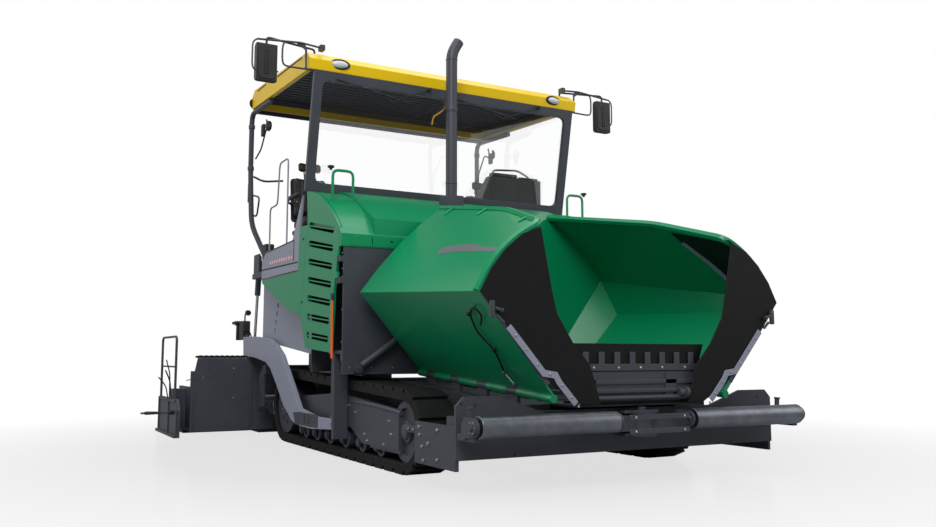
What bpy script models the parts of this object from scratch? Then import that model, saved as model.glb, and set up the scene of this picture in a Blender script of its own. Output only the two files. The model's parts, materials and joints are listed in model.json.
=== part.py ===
"""Tracked asphalt paver, real size, in metres.

+X is the machine's left side, the hopper is at -Y, and +Z is up. The origin is on the
ground under the middle of the machine. Each piece is one object in the collection
asphalt_paver, and each moving body hangs from an empty on its joint's axis.
"""

import bmesh
import bpy
from math import asin, atan2, cos, hypot, pi, radians, sin, tan
from mathutils import Matrix, Vector

SIDES = (("right", -1), ("left", 1))

# Shared fits
SEAT = 0.0003  # between solids that rest on each other
RUN = 0.006  # between pieces that move past each other
BITE = 0.004  # how far fused pieces run into each other
OVERRUN = 0.02  # how far a cutter passes the face it cuts

# Tracks
TRACK_OUTER_X = 1.335
TRACK_WIDTH = 0.305
TRACK_THICKNESS = 0.088
SHOE_COUNT = 42
SHOE_LENGTH_SHARE = 0.80
GROUSER_DEPTH = 0.030
IDLER_Y = -1.860
IDLER_RADIUS = 0.325
SPROCKET_Y = 1.190
SPROCKET_RADIUS = 0.385
ARC_STEPS = 16

# Chassis
CHASSIS_HALF = 0.900
TUNNEL_HALF = 0.580
CHASSIS_REAR = 1.660
CHASSIS_TOP = 0.680
CHASSIS_BOTTOM = 0.300
FLOOR_PLATE = 0.030

# Front beam and push rollers
BEAM_HALF = 1.444
BEAM_FRONT = -2.930
BEAM_REAR = -2.750
BEAM_LOW = 0.220
BEAM_HIGH = 0.500
ROLLER_Y = -3.198
ROLLER_Z = 0.452
ROLLER_RADIUS = 0.074
ROLLER_INNER = 0.345
ROLLER_OUTER = 1.432
JAW_HALF = 0.310

# Hopper wings, at their front and rear ends
WING_FRONT = -3.100
WING_REAR = -1.030
WING_HINGE_X = 0.787
WING_HINGE_FRONT_Z = 0.613
WING_HINGE_REAR_Z = 0.759
WING_BULGE_X = 1.361
WING_BULGE_FRONT_Z = 1.322
WING_BULGE_REAR_Z = 1.444
WING_TOP_FRONT_X = 0.872
WING_TOP_FRONT_Z = 1.804
WING_TOP_MID_X = 0.723
WING_TOP_MID_Z = 2.009
WING_TOP_REAR_X = 0.583
WING_TOP_REAR_Z = 2.240
WING_MID = -2.400
WING_SHEET = 0.012
WING_RAIL_RADIUS = 0.030
HINGE_RADIUS = 0.030

# Engine housing, hood and platform
BODY_HALF = 1.500
SKIN = 0.024
HOUSING_FRONT = -0.900
HOUSING_LOW = 0.745
HOOD_FRONT_LOW = 1.855
HOOD_FRONT_HIGH = 1.960
HOOD_SIDE_FRONT_Z = 2.000
HOOD_SIDE_REAR_Z = 2.170
HOOD_REAR = 0.080
PLATFORM_REAR = 2.080
PLATFORM_TOP = 1.850
PLATFORM_THICK = 0.060

# Windscreen and roof
SCREEN_HALF = 1.516
SCREEN_BOTTOM_Y = 0.089
SCREEN_BOTTOM_Z = 2.502
SCREEN_TOP_Y = -0.139
SCREEN_TOP_Z = 3.654
ROOF_HALF = 1.563
ROOF_FRONT = -0.161
ROOF_REAR = 1.980
ROOF_FRONT_LOW = 3.660
ROOF_FRONT_TOP = 3.848
ROOF_REAR_LOW = 3.780
ROOF_REAR_TOP = 3.985

# Tow arms and screed
ARM_INNER_X = 1.400
ARM_THICK = 0.046
TOW_Y = -0.600
TOW_Z = 0.300
SCREED_WALL_Y = 2.307
SCREED_REAR = 3.280
SCREED_HALF = 1.270
EXTENSION_OUTER = 2.090
WALL_HIGH = 0.880
WALL_STEP_HIGH = 0.730
GATE_X = 2.250

paver = bpy.data.collections.new("asphalt_paver")
workshop = bpy.data.collections.new("cutters")


def clear_scene():
    for obj in list(bpy.data.objects):
        bpy.data.objects.remove(obj, do_unlink=True)
    bpy.context.scene.collection.children.link(paver)
    bpy.context.scene.collection.children.link(workshop)


def paint(name, red, green, blue, roughness, metallic=0.0):
    material = bpy.data.materials.new(name)
    material.use_nodes = True
    shader = material.node_tree.nodes["Principled BSDF"]
    shader.inputs["Base Color"].default_value = (red, green, blue, 1)
    shader.inputs["Roughness"].default_value = roughness
    shader.inputs["Metallic"].default_value = metallic
    return material


def add_mesh(name, mesh):
    obj = bpy.data.objects.new(name, mesh)
    paver.objects.link(obj)
    return obj


def from_bmesh(name, shape):
    mesh = bpy.data.meshes.new(name)
    bmesh.ops.recalc_face_normals(shape, faces=shape.faces)
    shape.to_mesh(mesh)
    shape.free()
    return add_mesh(name, mesh)


def box(name, low, high):
    """A box between two corners, in any order."""
    shape = bmesh.new()
    bmesh.ops.create_cube(shape, size=1)
    size = [abs(b - a) for a, b in zip(low, high)]
    middle = [(a + b) / 2 for a, b in zip(low, high)]
    bmesh.ops.scale(shape, vec=size, verts=shape.verts)
    bmesh.ops.translate(shape, vec=middle, verts=shape.verts)
    return from_bmesh(name, shape)


def rod(name, start, end, radius, sides=16, end_radius=None):
    """A round bar, or a cone, between two points."""
    start, end = Vector(start), Vector(end)
    shape = bmesh.new()
    bmesh.ops.create_cone(shape, cap_ends=True, segments=sides, radius1=radius,
                          radius2=radius if end_radius is None else end_radius,
                          depth=(end - start).length)
    turn = (end - start).to_track_quat("Z", "Y").to_matrix().to_4x4()
    bmesh.ops.transform(shape, matrix=Matrix.Translation((start + end) / 2) @ turn,
                        verts=shape.verts)
    return from_bmesh(name, shape)


def to_mesh(obj):
    """Turns a curve object into a closed mesh object in the same place."""
    bpy.context.view_layer.update()
    graph = bpy.context.evaluated_depsgraph_get()
    mesh = bpy.data.meshes.new_from_object(obj.evaluated_get(graph))
    shape = bmesh.new()
    shape.from_mesh(mesh)
    bpy.data.meshes.remove(mesh)
    bmesh.ops.transform(shape, matrix=obj.matrix_world, verts=shape.verts)
    bmesh.ops.remove_doubles(shape, verts=shape.verts, dist=SEAT / 10)
    name = obj.name
    bpy.data.objects.remove(obj, do_unlink=True)
    return from_bmesh(name, shape)


def slab(name, axis, low, high, *outlines):
    """A flat plate square to an axis. Its first outline is the edge, the rest are holes.

    Outline points are (y, z) for axis X, (x, z) for axis Y and (x, y) for axis Z.
    """
    low, high = sorted((low, high))
    curve = bpy.data.curves.new(name, "CURVE")
    curve.dimensions = "2D"
    curve.fill_mode = "BOTH"
    curve.extrude = (high - low) / 2
    for outline in outlines:
        spline = curve.splines.new("POLY")
        spline.points.add(len(outline) - 1)
        for point, (u, v) in zip(spline.points, outline):
            point.co = (u, v, 0, 1)
        spline.use_cyclic_u = True
    obj = bpy.data.objects.new(name, curve)
    paver.objects.link(obj)
    middle = (low + high) / 2
    obj.matrix_world = {
        "X": Matrix(((0, 0, 1, middle), (1, 0, 0, 0), (0, 1, 0, 0), (0, 0, 0, 1))),
        "Y": Matrix(((1, 0, 0, 0), (0, 0, -1, middle), (0, 1, 0, 0), (0, 0, 0, 1))),
        "Z": Matrix(((1, 0, 0, 0), (0, 1, 0, 0), (0, 0, 1, middle), (0, 0, 0, 1))),
    }[axis]
    return to_mesh(obj)


def arc(u, v, radius, start, stop, steps):
    """Points on a circle round (u, v), from one angle to another in degrees."""
    turn = [radians(start + (stop - start) * step / steps) for step in range(steps + 1)]
    return [(u + radius * cos(angle), v + radius * sin(angle)) for angle in turn]


def bore(radius, sides):
    """Radius of a faceted hole whose flats just clear a round pin."""
    return (radius + SEAT) / cos(pi / sides)


def circle(u, v, radius, sides=16):
    return arc(u, v, radius, 0, 360, sides)[:-1]


def ring(name, axis, low, high, u, v, outer, inner, sides=16):
    return slab(name, axis, low, high, circle(u, v, outer, sides), circle(u, v, inner, sides))


def rounded(points, radius, steps=3, closed=False):
    """The same path with each corner replaced by an arc of about the given radius."""
    points = [Vector(point) for point in points]
    path = [] if closed else [points[0]]
    corners = range(len(points)) if closed else range(1, len(points) - 1)
    for index in corners:
        before, corner, after = points[index - 1], points[index], points[(index + 1) % len(points)]
        back, ahead = before - corner, after - corner
        reach = min(radius, back.length * 0.49, ahead.length * 0.49)
        first, last = corner + back.normalized() * reach, corner + ahead.normalized() * reach
        for step in range(steps + 1):
            share = step / steps
            path.append(first * (1 - share) ** 2 + corner * 2 * share * (1 - share)
                        + last * share ** 2)
    if not closed:
        path.append(points[-1])
    return path


def tube(name, points, radius, bend=0.0, closed=False, smooth=1):
    """A round tube along a path, with its corners bent to a radius."""
    path = rounded(points, bend, closed=closed) if bend else [Vector(point) for point in points]
    curve = bpy.data.curves.new(name, "CURVE")
    curve.dimensions = "3D"
    curve.bevel_depth = radius
    curve.bevel_resolution = smooth
    curve.use_fill_caps = not closed
    spline = curve.splines.new("POLY")
    spline.points.add(len(path) - 1)
    for point, place in zip(spline.points, path):
        point.co = (*place, 1)
    spline.use_cyclic_u = closed
    obj = bpy.data.objects.new(name, curve)
    paver.objects.link(obj)
    return to_mesh(obj)


def to_workshop(obj):
    paver.objects.unlink(obj)
    workshop.objects.link(obj)
    obj.hide_render = True
    obj.display_type = "WIRE"


def combine(base, others, operation):
    """Joins or cuts with all the other pieces in one exact Boolean."""
    group = bpy.data.collections.new(base.name + "_" + operation.lower())
    workshop.children.link(group)
    for other in others:
        to_workshop(other)
        workshop.objects.unlink(other)
        group.objects.link(other)
    change = base.modifiers.new(operation.title(), "BOOLEAN")
    change.operation = operation
    change.operand_type = "COLLECTION"
    change.collection = group
    change.solver = "EXACT"
    return base


def fuse(name, pieces):
    base, *others = pieces
    base.name = name
    return combine(base, others, "UNION") if others else base


def cut(base, cutters):
    return combine(base, cutters, "DIFFERENCE")


def finish(obj, material, parent=None):
    obj.data.materials.clear()
    obj.data.materials.append(material)
    if parent:
        obj.parent = parent
        obj.matrix_parent_inverse = Matrix.Translation(parent.location).inverted()
    return obj


def joint_point(name, place, parent=None):
    """An empty on a joint's axis, which carries the pieces that move with it."""
    empty = bpy.data.objects.new(name, None)
    empty.location = place
    paver.objects.link(empty)
    if parent:
        empty.parent = parent
        empty.matrix_parent_inverse = Matrix.Translation(parent.location).inverted()
    return empty


def mix(low, high, share):
    return low + (high - low) * share


clear_scene()

GREEN = paint("green_enamel", 0.0, 0.32, 0.15, 0.32)
YELLOW = paint("yellow_enamel", 0.92, 0.63, 0.01, 0.3)
GREY = paint("graphite_paint", 0.05, 0.055, 0.065, 0.5)
LIGHT_GREY = paint("silver_grey_paint", 0.33, 0.36, 0.44, 0.45)
BLACK = paint("black_rubber", 0.012, 0.012, 0.013, 0.8)
STEEL = paint("worn_steel", 0.3, 0.31, 0.34, 0.35, 0.9)
CHROME = paint("chromed_rod", 0.75, 0.75, 0.77, 0.12, 1.0)
GLASS = paint("screen_glass", 0.75, 0.8, 0.82, 0.05)
VINYL = paint("seat_vinyl", 0.02, 0.02, 0.022, 0.6)


def track_path(distance, inset):
    """The point of the track's outline at a distance along it, moved in by an inset.

    The outline runs back along the ground, up round the sprocket, forward along the
    upper run and down round the idler.
    """
    reach = hypot(SPROCKET_Y - IDLER_Y, SPROCKET_RADIUS - IDLER_RADIUS)
    rise = SPROCKET_RADIUS - IDLER_RADIUS
    slope = atan2(rise, SPROCKET_Y - IDLER_Y) + asin(rise / reach)
    ground = SPROCKET_Y - IDLER_Y
    rear_arc = SPROCKET_RADIUS * (pi + slope)
    upper = (reach ** 2 - rise ** 2) ** 0.5
    front_arc = IDLER_RADIUS * (pi - slope)
    distance %= ground + rear_arc + upper + front_arc
    if distance < ground:
        return IDLER_Y + distance, inset
    distance -= ground
    if distance < rear_arc:
        angle = distance / SPROCKET_RADIUS - pi / 2
        reach = SPROCKET_RADIUS - inset
        return SPROCKET_Y + reach * cos(angle), SPROCKET_RADIUS + reach * sin(angle)
    distance -= rear_arc
    if distance < upper:
        along = distance / upper
        angle = pi / 2 + slope
        reach = mix(SPROCKET_RADIUS, IDLER_RADIUS, along) - inset
        return (mix(SPROCKET_Y, IDLER_Y, along) + reach * cos(angle),
                mix(SPROCKET_RADIUS, IDLER_RADIUS, along) + reach * sin(angle))
    distance -= upper
    angle = distance / IDLER_RADIUS + pi / 2 + slope
    reach = IDLER_RADIUS - inset
    return IDLER_Y + reach * cos(angle), IDLER_RADIUS + reach * sin(angle)


def track_length():
    rise = SPROCKET_RADIUS - IDLER_RADIUS
    ground = SPROCKET_Y - IDLER_Y
    reach = hypot(ground, rise)
    slope = atan2(rise, ground) + asin(rise / reach)
    return (ground + SPROCKET_RADIUS * (pi + slope) + (reach ** 2 - rise ** 2) ** 0.5
            + IDLER_RADIUS * (pi - slope))


def wheel_radius(outer):
    """The largest wheel whose corners clear the flats of the track's inner outline."""
    return (outer - TRACK_THICKNESS) * cos(pi / ARC_STEPS / 2) - SEAT


def make_track(side_name, side):
    pitch = track_length() / SHOE_COUNT
    shoes = []
    for index in range(SHOE_COUNT):
        start = index * pitch
        stop = start + pitch * SHOE_LENGTH_SHARE
        shoes += [track_path(start, 0), track_path(stop, 0),
                  track_path(stop, GROUSER_DEPTH), track_path(start + pitch, GROUSER_DEPTH)]
    rise = SPROCKET_RADIUS - IDLER_RADIUS
    slope = atan2(rise, SPROCKET_Y - IDLER_Y) * 360 / pi
    inner = arc(SPROCKET_Y, SPROCKET_RADIUS, SPROCKET_RADIUS - TRACK_THICKNESS,
                -90, 90 + slope, ARC_STEPS)
    inner += arc(IDLER_Y, IDLER_RADIUS, IDLER_RADIUS - TRACK_THICKNESS,
                 90 + slope, 270, ARC_STEPS)
    track = slab("track_" + side_name, "X", side * (TRACK_OUTER_X - TRACK_WIDTH),
                 side * TRACK_OUTER_X, shoes, inner)
    return finish(track, BLACK)


TRACK_ROLLER_RADIUS = 0.090
TRACK_ROLLER_PLACE_SHARES = (0.16, 0.29, 0.42, 0.55, 0.67, 0.78)  # of the idler to sprocket run
FRAME_COVER = 0.030
FRAME_CORE_LOW = 0.200
FRAME_CORE_HIGH = 0.480
FRAME_CORE_INSET = 0.070
WHEEL_INSET = 0.030
DISH_DEPTH = 0.018
DISH_OUTER_SHARE = 0.78
DISH_INNER_SHARE = 0.36
SPROCKET_SLOT_COUNT = 7
SPROCKET_SLOT_SHARE = 0.62  # of the wheel's radius, to the middle of its slots
SPROCKET_SLOT_RADIUS = 0.022
AXLE_WEB = 0.140
AXLE_WEB_SHARES = (0.30, 0.72)


def make_track_frame(side_name, side):
    inner = TRACK_OUTER_X - TRACK_WIDTH
    run = SPROCKET_Y - IDLER_Y
    wheel_low, wheel_high = inner + WHEEL_INSET, TRACK_OUTER_X - WHEEL_INSET
    core_low, core_high = inner + FRAME_CORE_INSET, TRACK_OUTER_X - FRAME_CORE_INSET
    pieces = [box("core", (side * core_low, IDLER_Y, FRAME_CORE_LOW),
                  (side * core_high, SPROCKET_Y, FRAME_CORE_HIGH))]
    dishes = []
    for number, share in enumerate(TRACK_ROLLER_PLACE_SHARES):
        y = IDLER_Y + run * share
        z = TRACK_THICKNESS + SEAT + TRACK_ROLLER_RADIUS
        pieces.append(rod(f"roller_{number}", (side * wheel_low, y, z),
                          (side * wheel_high, y, z), TRACK_ROLLER_RADIUS))
        dishes.append(rod(f"dish_{number}", (side * (wheel_high - DISH_DEPTH), y, z), (side * (wheel_high + OVERRUN), y, z),
                          TRACK_ROLLER_RADIUS * DISH_OUTER_SHARE, 10))
    for label, y, outer in (("idler", IDLER_Y, IDLER_RADIUS),
                            ("sprocket", SPROCKET_Y, SPROCKET_RADIUS)):
        pieces.append(rod(label, (side * wheel_low, y, outer), (side * wheel_high, y, outer),
                          wheel_radius(outer), 2 * ARC_STEPS))
    slots = circle(SPROCKET_Y, SPROCKET_RADIUS, wheel_radius(SPROCKET_RADIUS) * SPROCKET_SLOT_SHARE,
                   SPROCKET_SLOT_COUNT)
    for number, (y, z) in enumerate(slots):
        dishes.append(rod(f"slot_{number}", (side * (wheel_high - DISH_DEPTH), y, z),
                          (side * (wheel_high + OVERRUN), y, z), SPROCKET_SLOT_RADIUS, 6))
    dishes.append(ring("idler_dish", "X", side * (wheel_high - DISH_DEPTH), side * (wheel_high + OVERRUN),
                       IDLER_Y, IDLER_RADIUS, wheel_radius(IDLER_RADIUS) * DISH_OUTER_SHARE,
                       wheel_radius(IDLER_RADIUS) * DISH_INNER_SHARE, ARC_STEPS))
    cover_front, cover_mid = IDLER_Y + run * 0.025, IDLER_Y + run * 0.46
    cover = [(cover_front, FRAME_CORE_HIGH - BITE), (cover_mid, FRAME_CORE_HIGH + WHEEL_INSET * 3),
             (IDLER_Y + run * 0.92, FRAME_CORE_HIGH), (IDLER_Y + run * 0.92, FRAME_CORE_LOW),
             (IDLER_Y + run * 0.36, FRAME_CORE_LOW + WHEEL_INSET * 3),
             (IDLER_Y + run * 0.27, FRAME_CORE_LOW - WHEEL_INSET), (cover_front, FRAME_CORE_LOW - WHEEL_INSET)]
    frame = cut(fuse("track_frame_" + side_name, pieces), dishes)
    pieces = [slab("cover", "X", side * (core_high - BITE), side * (TRACK_OUTER_X - SEAT), cover)]
    for number, share in enumerate(AXLE_WEB_SHARES):
        y = IDLER_Y + run * share
        pieces.append(box(f"web_{number}", (side * (CHASSIS_HALF + SEAT), y - AXLE_WEB, FRAME_CORE_LOW + WHEEL_INSET * 3),
                          (side * (core_low + BITE), y + AXLE_WEB, FRAME_CORE_HIGH - WHEEL_INSET)))
    return finish(combine(frame, pieces, "UNION"), GREY)


def hinge_z(y):
    """Height of the wing hinge, which climbs towards the rear."""
    share = (y - WING_FRONT) / (WING_REAR - WING_FRONT)
    return mix(WING_HINGE_FRONT_Z, WING_HINGE_REAR_Z, share)


HINGE_DROP = 0.080  # from the hinge line to the top of the chassis
CHASSIS_RAKE = 0.350
KNUCKLE_LENGTH = 0.150
KNUCKLE_SHARES = (0.25, 0.46, 0.67, 0.88)
WEB_THICK = 0.030


def make_chassis():
    front = BEAM_REAR + SEAT
    side_outline = [(front, BEAM_LOW), (front, hinge_z(front) - HINGE_DROP),
                    (WING_REAR, hinge_z(WING_REAR) - HINGE_DROP), (CHASSIS_REAR, CHASSIS_TOP),
                    (CHASSIS_REAR, CHASSIS_BOTTOM), (front + CHASSIS_RAKE, CHASSIS_BOTTOM - WEB_THICK)]
    pieces = []
    for side_name, side in SIDES:
        pieces.append(slab("side_box_" + side_name, "X", side * TUNNEL_HALF,
                           side * CHASSIS_HALF, side_outline))
    pieces.insert(0, box("belly", (-TUNNEL_HALF - BITE, front, CHASSIS_BOTTOM + FLOOR_PLATE),
                         (TUNNEL_HALF + BITE, CHASSIS_REAR, CHASSIS_BOTTOM + 3 * FLOOR_PLATE)))
    length = WING_REAR - WING_FRONT
    for side_name, side in SIDES:
        for number, share in enumerate(KNUCKLE_SHARES):
            y = WING_FRONT + length * share
            z, half = hinge_z(y), KNUCKLE_LENGTH / 2
            web = box(f"web_{side_name}_{number}",
                      (side * WING_HINGE_X - WEB_THICK / 2, y - half + BITE, z - HINGE_DROP - FLOOR_PLATE),
                      (side * WING_HINGE_X + WEB_THICK / 2, y + half - BITE, z - HINGE_RADIUS / 2))
            low, high = y - half, y + half
            knuckle = rod(f"knuckle_{side_name}_{number}", (side * WING_HINGE_X, low, hinge_z(low)),
                          (side * WING_HINGE_X, high, hinge_z(high)), HINGE_RADIUS, 12)
            pieces += [web, knuckle]
    return finish(fuse("chassis_frame", pieces), GREY)


PLATE = 0.025
BEAM_WING_X = 1.108
BEAM_WING_HIGH = 0.632
BEAM_CHAMFER = 0.060
SIDE_PLATE_REAR = -2.300
SIDE_PLATE_LOW = 0.150
SIDE_PLATE_HIGH = 0.440
JAW_PIN_Y = -3.060
JAW_PIN_RADIUS = 0.030
JAW_PLATE = 0.022
JAW_LOW = 0.345
JAW_HIGH = 0.505


def make_crossbeam():
    half = [(0, BEAM_LOW), (BEAM_HALF, BEAM_LOW), (BEAM_HALF, BEAM_WING_HIGH - BEAM_CHAMFER),
            (BEAM_HALF - BEAM_CHAMFER, BEAM_WING_HIGH), (BEAM_WING_X, BEAM_WING_HIGH),
            (WING_HINGE_X, BEAM_HIGH + PLATE), (0, BEAM_HIGH + PLATE)]
    outline = half[1:-1] + [(-x, z) for x, z in reversed(half[1:-1])]
    pieces = [slab("front_plate", "Y", BEAM_FRONT, BEAM_FRONT + PLATE, outline),
              box("tube", (-BEAM_HALF + PLATE, BEAM_FRONT + PLATE - BITE, BEAM_LOW + PLATE),
                  (BEAM_HALF - PLATE, BEAM_REAR, BEAM_HIGH))]
    for side_name, side in SIDES:
        inner = side * (BEAM_HALF - PLATE - BITE)
        pieces.append(box("wrap_" + side_name, (inner, BEAM_FRONT + PLATE / 2, SIDE_PLATE_LOW),
                          (side * BEAM_HALF - side * BITE / 2, SIDE_PLATE_REAR, SIDE_PLATE_HIGH)))
    for label, z in (("low", JAW_LOW), ("high", JAW_HIGH)):
        jaw = [(-JAW_HALF / 2, BEAM_FRONT + BITE), (-JAW_HALF / 2, JAW_PIN_Y),
               *arc(0, JAW_PIN_Y, JAW_HALF / 3, 180, 360, 6), (JAW_HALF / 2, JAW_PIN_Y),
               (JAW_HALF / 2, BEAM_FRONT + BITE)]
        pieces.append(slab("jaw_" + label, "Z", z - JAW_PLATE / 2, z + JAW_PLATE / 2, jaw))
    pieces.append(rod("jaw_pin", (0, JAW_PIN_Y, JAW_LOW - JAW_PLATE),
                      (0, JAW_PIN_Y, JAW_HIGH + JAW_PLATE), JAW_PIN_RADIUS))
    return finish(fuse("crossbeam", pieces), GREY)


BAR_DEPTH = 0.050
BAR_HEIGHT = 0.110
END_PLATE = 0.014
JOURNAL_RADIUS = 0.022
JOURNAL_LENGTH = 0.016
BAR_Y = -3.060


def make_push_bar(body):
    """The swinging bar: a hub on the jaw's pin, a tube to each side, and roller ears."""
    middle = (JAW_LOW + JAW_HIGH) / 2
    hub_high = JAW_HIGH - JAW_PLATE / 2 - RUN
    hub_low = JAW_LOW + JAW_PLATE / 2 + RUN
    hub = ring("hub", "Z", hub_low, hub_high, 0, JAW_PIN_Y, JAW_PIN_RADIUS * 2.4,
               bore(JAW_PIN_RADIUS, 16))
    pieces = [hub]
    for side_name, side in SIDES:
        start = side * JAW_PIN_RADIUS * 1.8
        pieces.append(box("bar_" + side_name, (start, BAR_Y - BAR_DEPTH / 2, middle - BAR_HEIGHT / 2),
                          (side * (ROLLER_OUTER + JOURNAL_LENGTH + END_PLATE), BAR_Y + BAR_DEPTH / 2,
                           middle + BAR_HEIGHT / 2)))
        for label, low in (("inner", ROLLER_INNER - JOURNAL_LENGTH - END_PLATE),
                           ("outer", ROLLER_OUTER + JOURNAL_LENGTH)):
            ear = [(BAR_Y, ROLLER_Z - ROLLER_RADIUS), (BAR_Y, ROLLER_Z + ROLLER_RADIUS * 0.8),
                   *arc(ROLLER_Y, ROLLER_Z, ROLLER_RADIUS * 0.8, 90, 270, 6)]
            pieces.append(slab(f"ear_{label}_{side_name}", "X", side * low, side * (low + END_PLATE),
                               ear, circle(ROLLER_Y, ROLLER_Z, bore(JOURNAL_RADIUS, 16))))
    return finish(fuse("push_bar", pieces), GREY, body)


def make_push_roller(side_name, side, body):
    ends = (side * (ROLLER_INNER - JOURNAL_LENGTH), side * (ROLLER_OUTER + JOURNAL_LENGTH))
    shell = rod("shell", (side * ROLLER_INNER, ROLLER_Y, ROLLER_Z),
                (side * ROLLER_OUTER, ROLLER_Y, ROLLER_Z), ROLLER_RADIUS, 32)
    reach = side * (JOURNAL_LENGTH + END_PLATE)
    journal = rod("journal", (side * ROLLER_INNER - reach, ROLLER_Y, ROLLER_Z),
                  (side * ROLLER_OUTER + reach, ROLLER_Y, ROLLER_Z), JOURNAL_RADIUS)
    return finish(fuse("push_roller_" + side_name, [shell, journal]), STEEL, body)


SLAT_COUNT = 14
SLAT_WIDTH = 0.045
SLAT_HIGH = 0.022
CONVEYOR_FRONT = -3.030
CONVEYOR_LOW = 0.545
CONVEYOR_PLATE = 0.020
DIVIDER_HALF = 0.055
DIVIDER_HIGH = 0.055


def make_conveyor():
    half = TUNNEL_HALF - RUN
    low, top = CONVEYOR_LOW, CONVEYOR_LOW + CONVEYOR_PLATE
    pieces = [box("deck", (-half, CONVEYOR_FRONT, low), (half, CHASSIS_REAR, top)),
              box("divider", (-DIVIDER_HALF, CONVEYOR_FRONT + SLAT_WIDTH, top - BITE),
                  (DIVIDER_HALF, CHASSIS_REAR - SLAT_WIDTH, top + DIVIDER_HIGH))]
    length = CHASSIS_REAR - CONVEYOR_FRONT
    for number in range(SLAT_COUNT):
        y = CONVEYOR_FRONT + length * (number + 0.5) / SLAT_COUNT
        pieces.append(box(f"slat_{number}", (-half + SLAT_WIDTH, y - SLAT_WIDTH / 2, top - BITE),
                          (half - SLAT_WIDTH, y + SLAT_WIDTH / 2, top + SLAT_HIGH)))
    prop_low = CHASSIS_BOTTOM + 3 * FLOOR_PLATE + SEAT
    for number, share in enumerate((0.2, 0.5, 0.8)):
        y = CONVEYOR_FRONT + length * share
        pieces.append(box(f"prop_{number}", (-half / 2, y - SLAT_WIDTH / 2, prop_low),
                          (half / 2, y + SLAT_WIDTH / 2, low + BITE)))
    return finish(fuse("conveyor_floor", pieces), GREY)


APRON_HALF = 0.620
APRON_TOP = 0.990
APRON_LOW = 0.560
APRON_THICK = 0.016
CLAMP_LOW = 0.795
CLAMP_HIGH = 0.845
CLAMP_HALF = 0.555
TOOTH_COUNT = 8
TOOTH_WIDTH = 0.050
TOOTH_HIGH = 0.085


def make_apron():
    """The rubber front curtain of the hopper floor, with its toothed clamp plate."""
    rear = CONVEYOR_FRONT - SEAT
    edge = [(-APRON_HALF + 0.14, APRON_LOW), (APRON_HALF - 0.14, APRON_LOW),
            (APRON_HALF - 0.05, CLAMP_HIGH), (APRON_HALF, APRON_TOP), (-APRON_HALF, APRON_TOP),
            (-APRON_HALF + 0.05, CLAMP_HIGH)]
    apron = slab("hopper_apron", "Y", rear - APRON_THICK, rear, edge)
    return finish(apron, BLACK)


def make_clamp():
    rear = CONVEYOR_FRONT - APRON_THICK - 2 * SEAT
    teeth = []
    pitch = 2 * CLAMP_HALF / TOOTH_COUNT
    for number in range(TOOTH_COUNT):
        middle = CLAMP_HALF - pitch * (number + 0.5)
        teeth += [(middle + TOOTH_WIDTH / 2, CLAMP_HIGH), (middle + TOOTH_WIDTH / 2, CLAMP_HIGH + TOOTH_HIGH),
                  (middle - TOOTH_WIDTH / 2, CLAMP_HIGH + TOOTH_HIGH), (middle - TOOTH_WIDTH / 2, CLAMP_HIGH)]
    outline = [(-CLAMP_HALF, CLAMP_LOW), (CLAMP_HALF, CLAMP_LOW), (CLAMP_HALF, CLAMP_HIGH), *teeth,
               (-CLAMP_HALF, CLAMP_HIGH)]
    return finish(slab("apron_clamp", "Y", rear - PLATE / 2, rear, outline), GREY)


WING_STATION_SHARES = (0.0, 0.34, 0.67, 1.0)
WING_BOW_FRONT = 0.070  # how far the upper panel bows outward
WING_BOW_REAR = 0.045
WING_BOW_STEPS = 4
WING_RAIL_BEND = 0.110
REAR_PLATE = 0.012
WING_RISE = 0.040  # lower edge of the sheet above the hinge line
REAR_INNER_X = 0.330
REAR_INNER_HIGH = 1.150
REAR_INNER_LOW_X = 0.520
REAR_LOW = 0.130
LUG_X = 0.720
LUG_Z = 1.225
LUG_PIN_RADIUS = 0.018
LUG_LENGTH = 0.087
EYE_SLACK = 0.012


def wing_section(share):
    """Outer line of the wing's sheet at a share of its length, from hinge to top rail."""
    y = mix(WING_FRONT, WING_REAR, share)
    bulge = mix(WING_BULGE_FRONT_Z, WING_BULGE_REAR_Z, share)
    middle = (WING_MID - WING_FRONT) / (WING_REAR - WING_FRONT)
    if share < middle:
        top = (mix(WING_TOP_FRONT_X, WING_TOP_MID_X, share / middle),
               mix(WING_TOP_FRONT_Z, WING_TOP_MID_Z, share / middle))
    else:
        past = (share - middle) / (1 - middle)
        top = mix(WING_TOP_MID_X, WING_TOP_REAR_X, past), mix(WING_TOP_MID_Z, WING_TOP_REAR_Z, past)
    line = [(WING_HINGE_X, hinge_z(y) + WING_RISE / 2)]
    bow = mix(WING_BOW_FRONT, WING_BOW_REAR, share)
    width, height = top[0] - WING_BULGE_X, top[1] - bulge
    reach = hypot(width, height)
    for step in range(WING_BOW_STEPS + 1):
        along_panel = step / WING_BOW_STEPS
        out = bow * 4 * along_panel * (1 - along_panel)
        line.append((WING_BULGE_X + width * along_panel + out * height / reach,
                     bulge + height * along_panel - out * width / reach))
    return y, line


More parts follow.
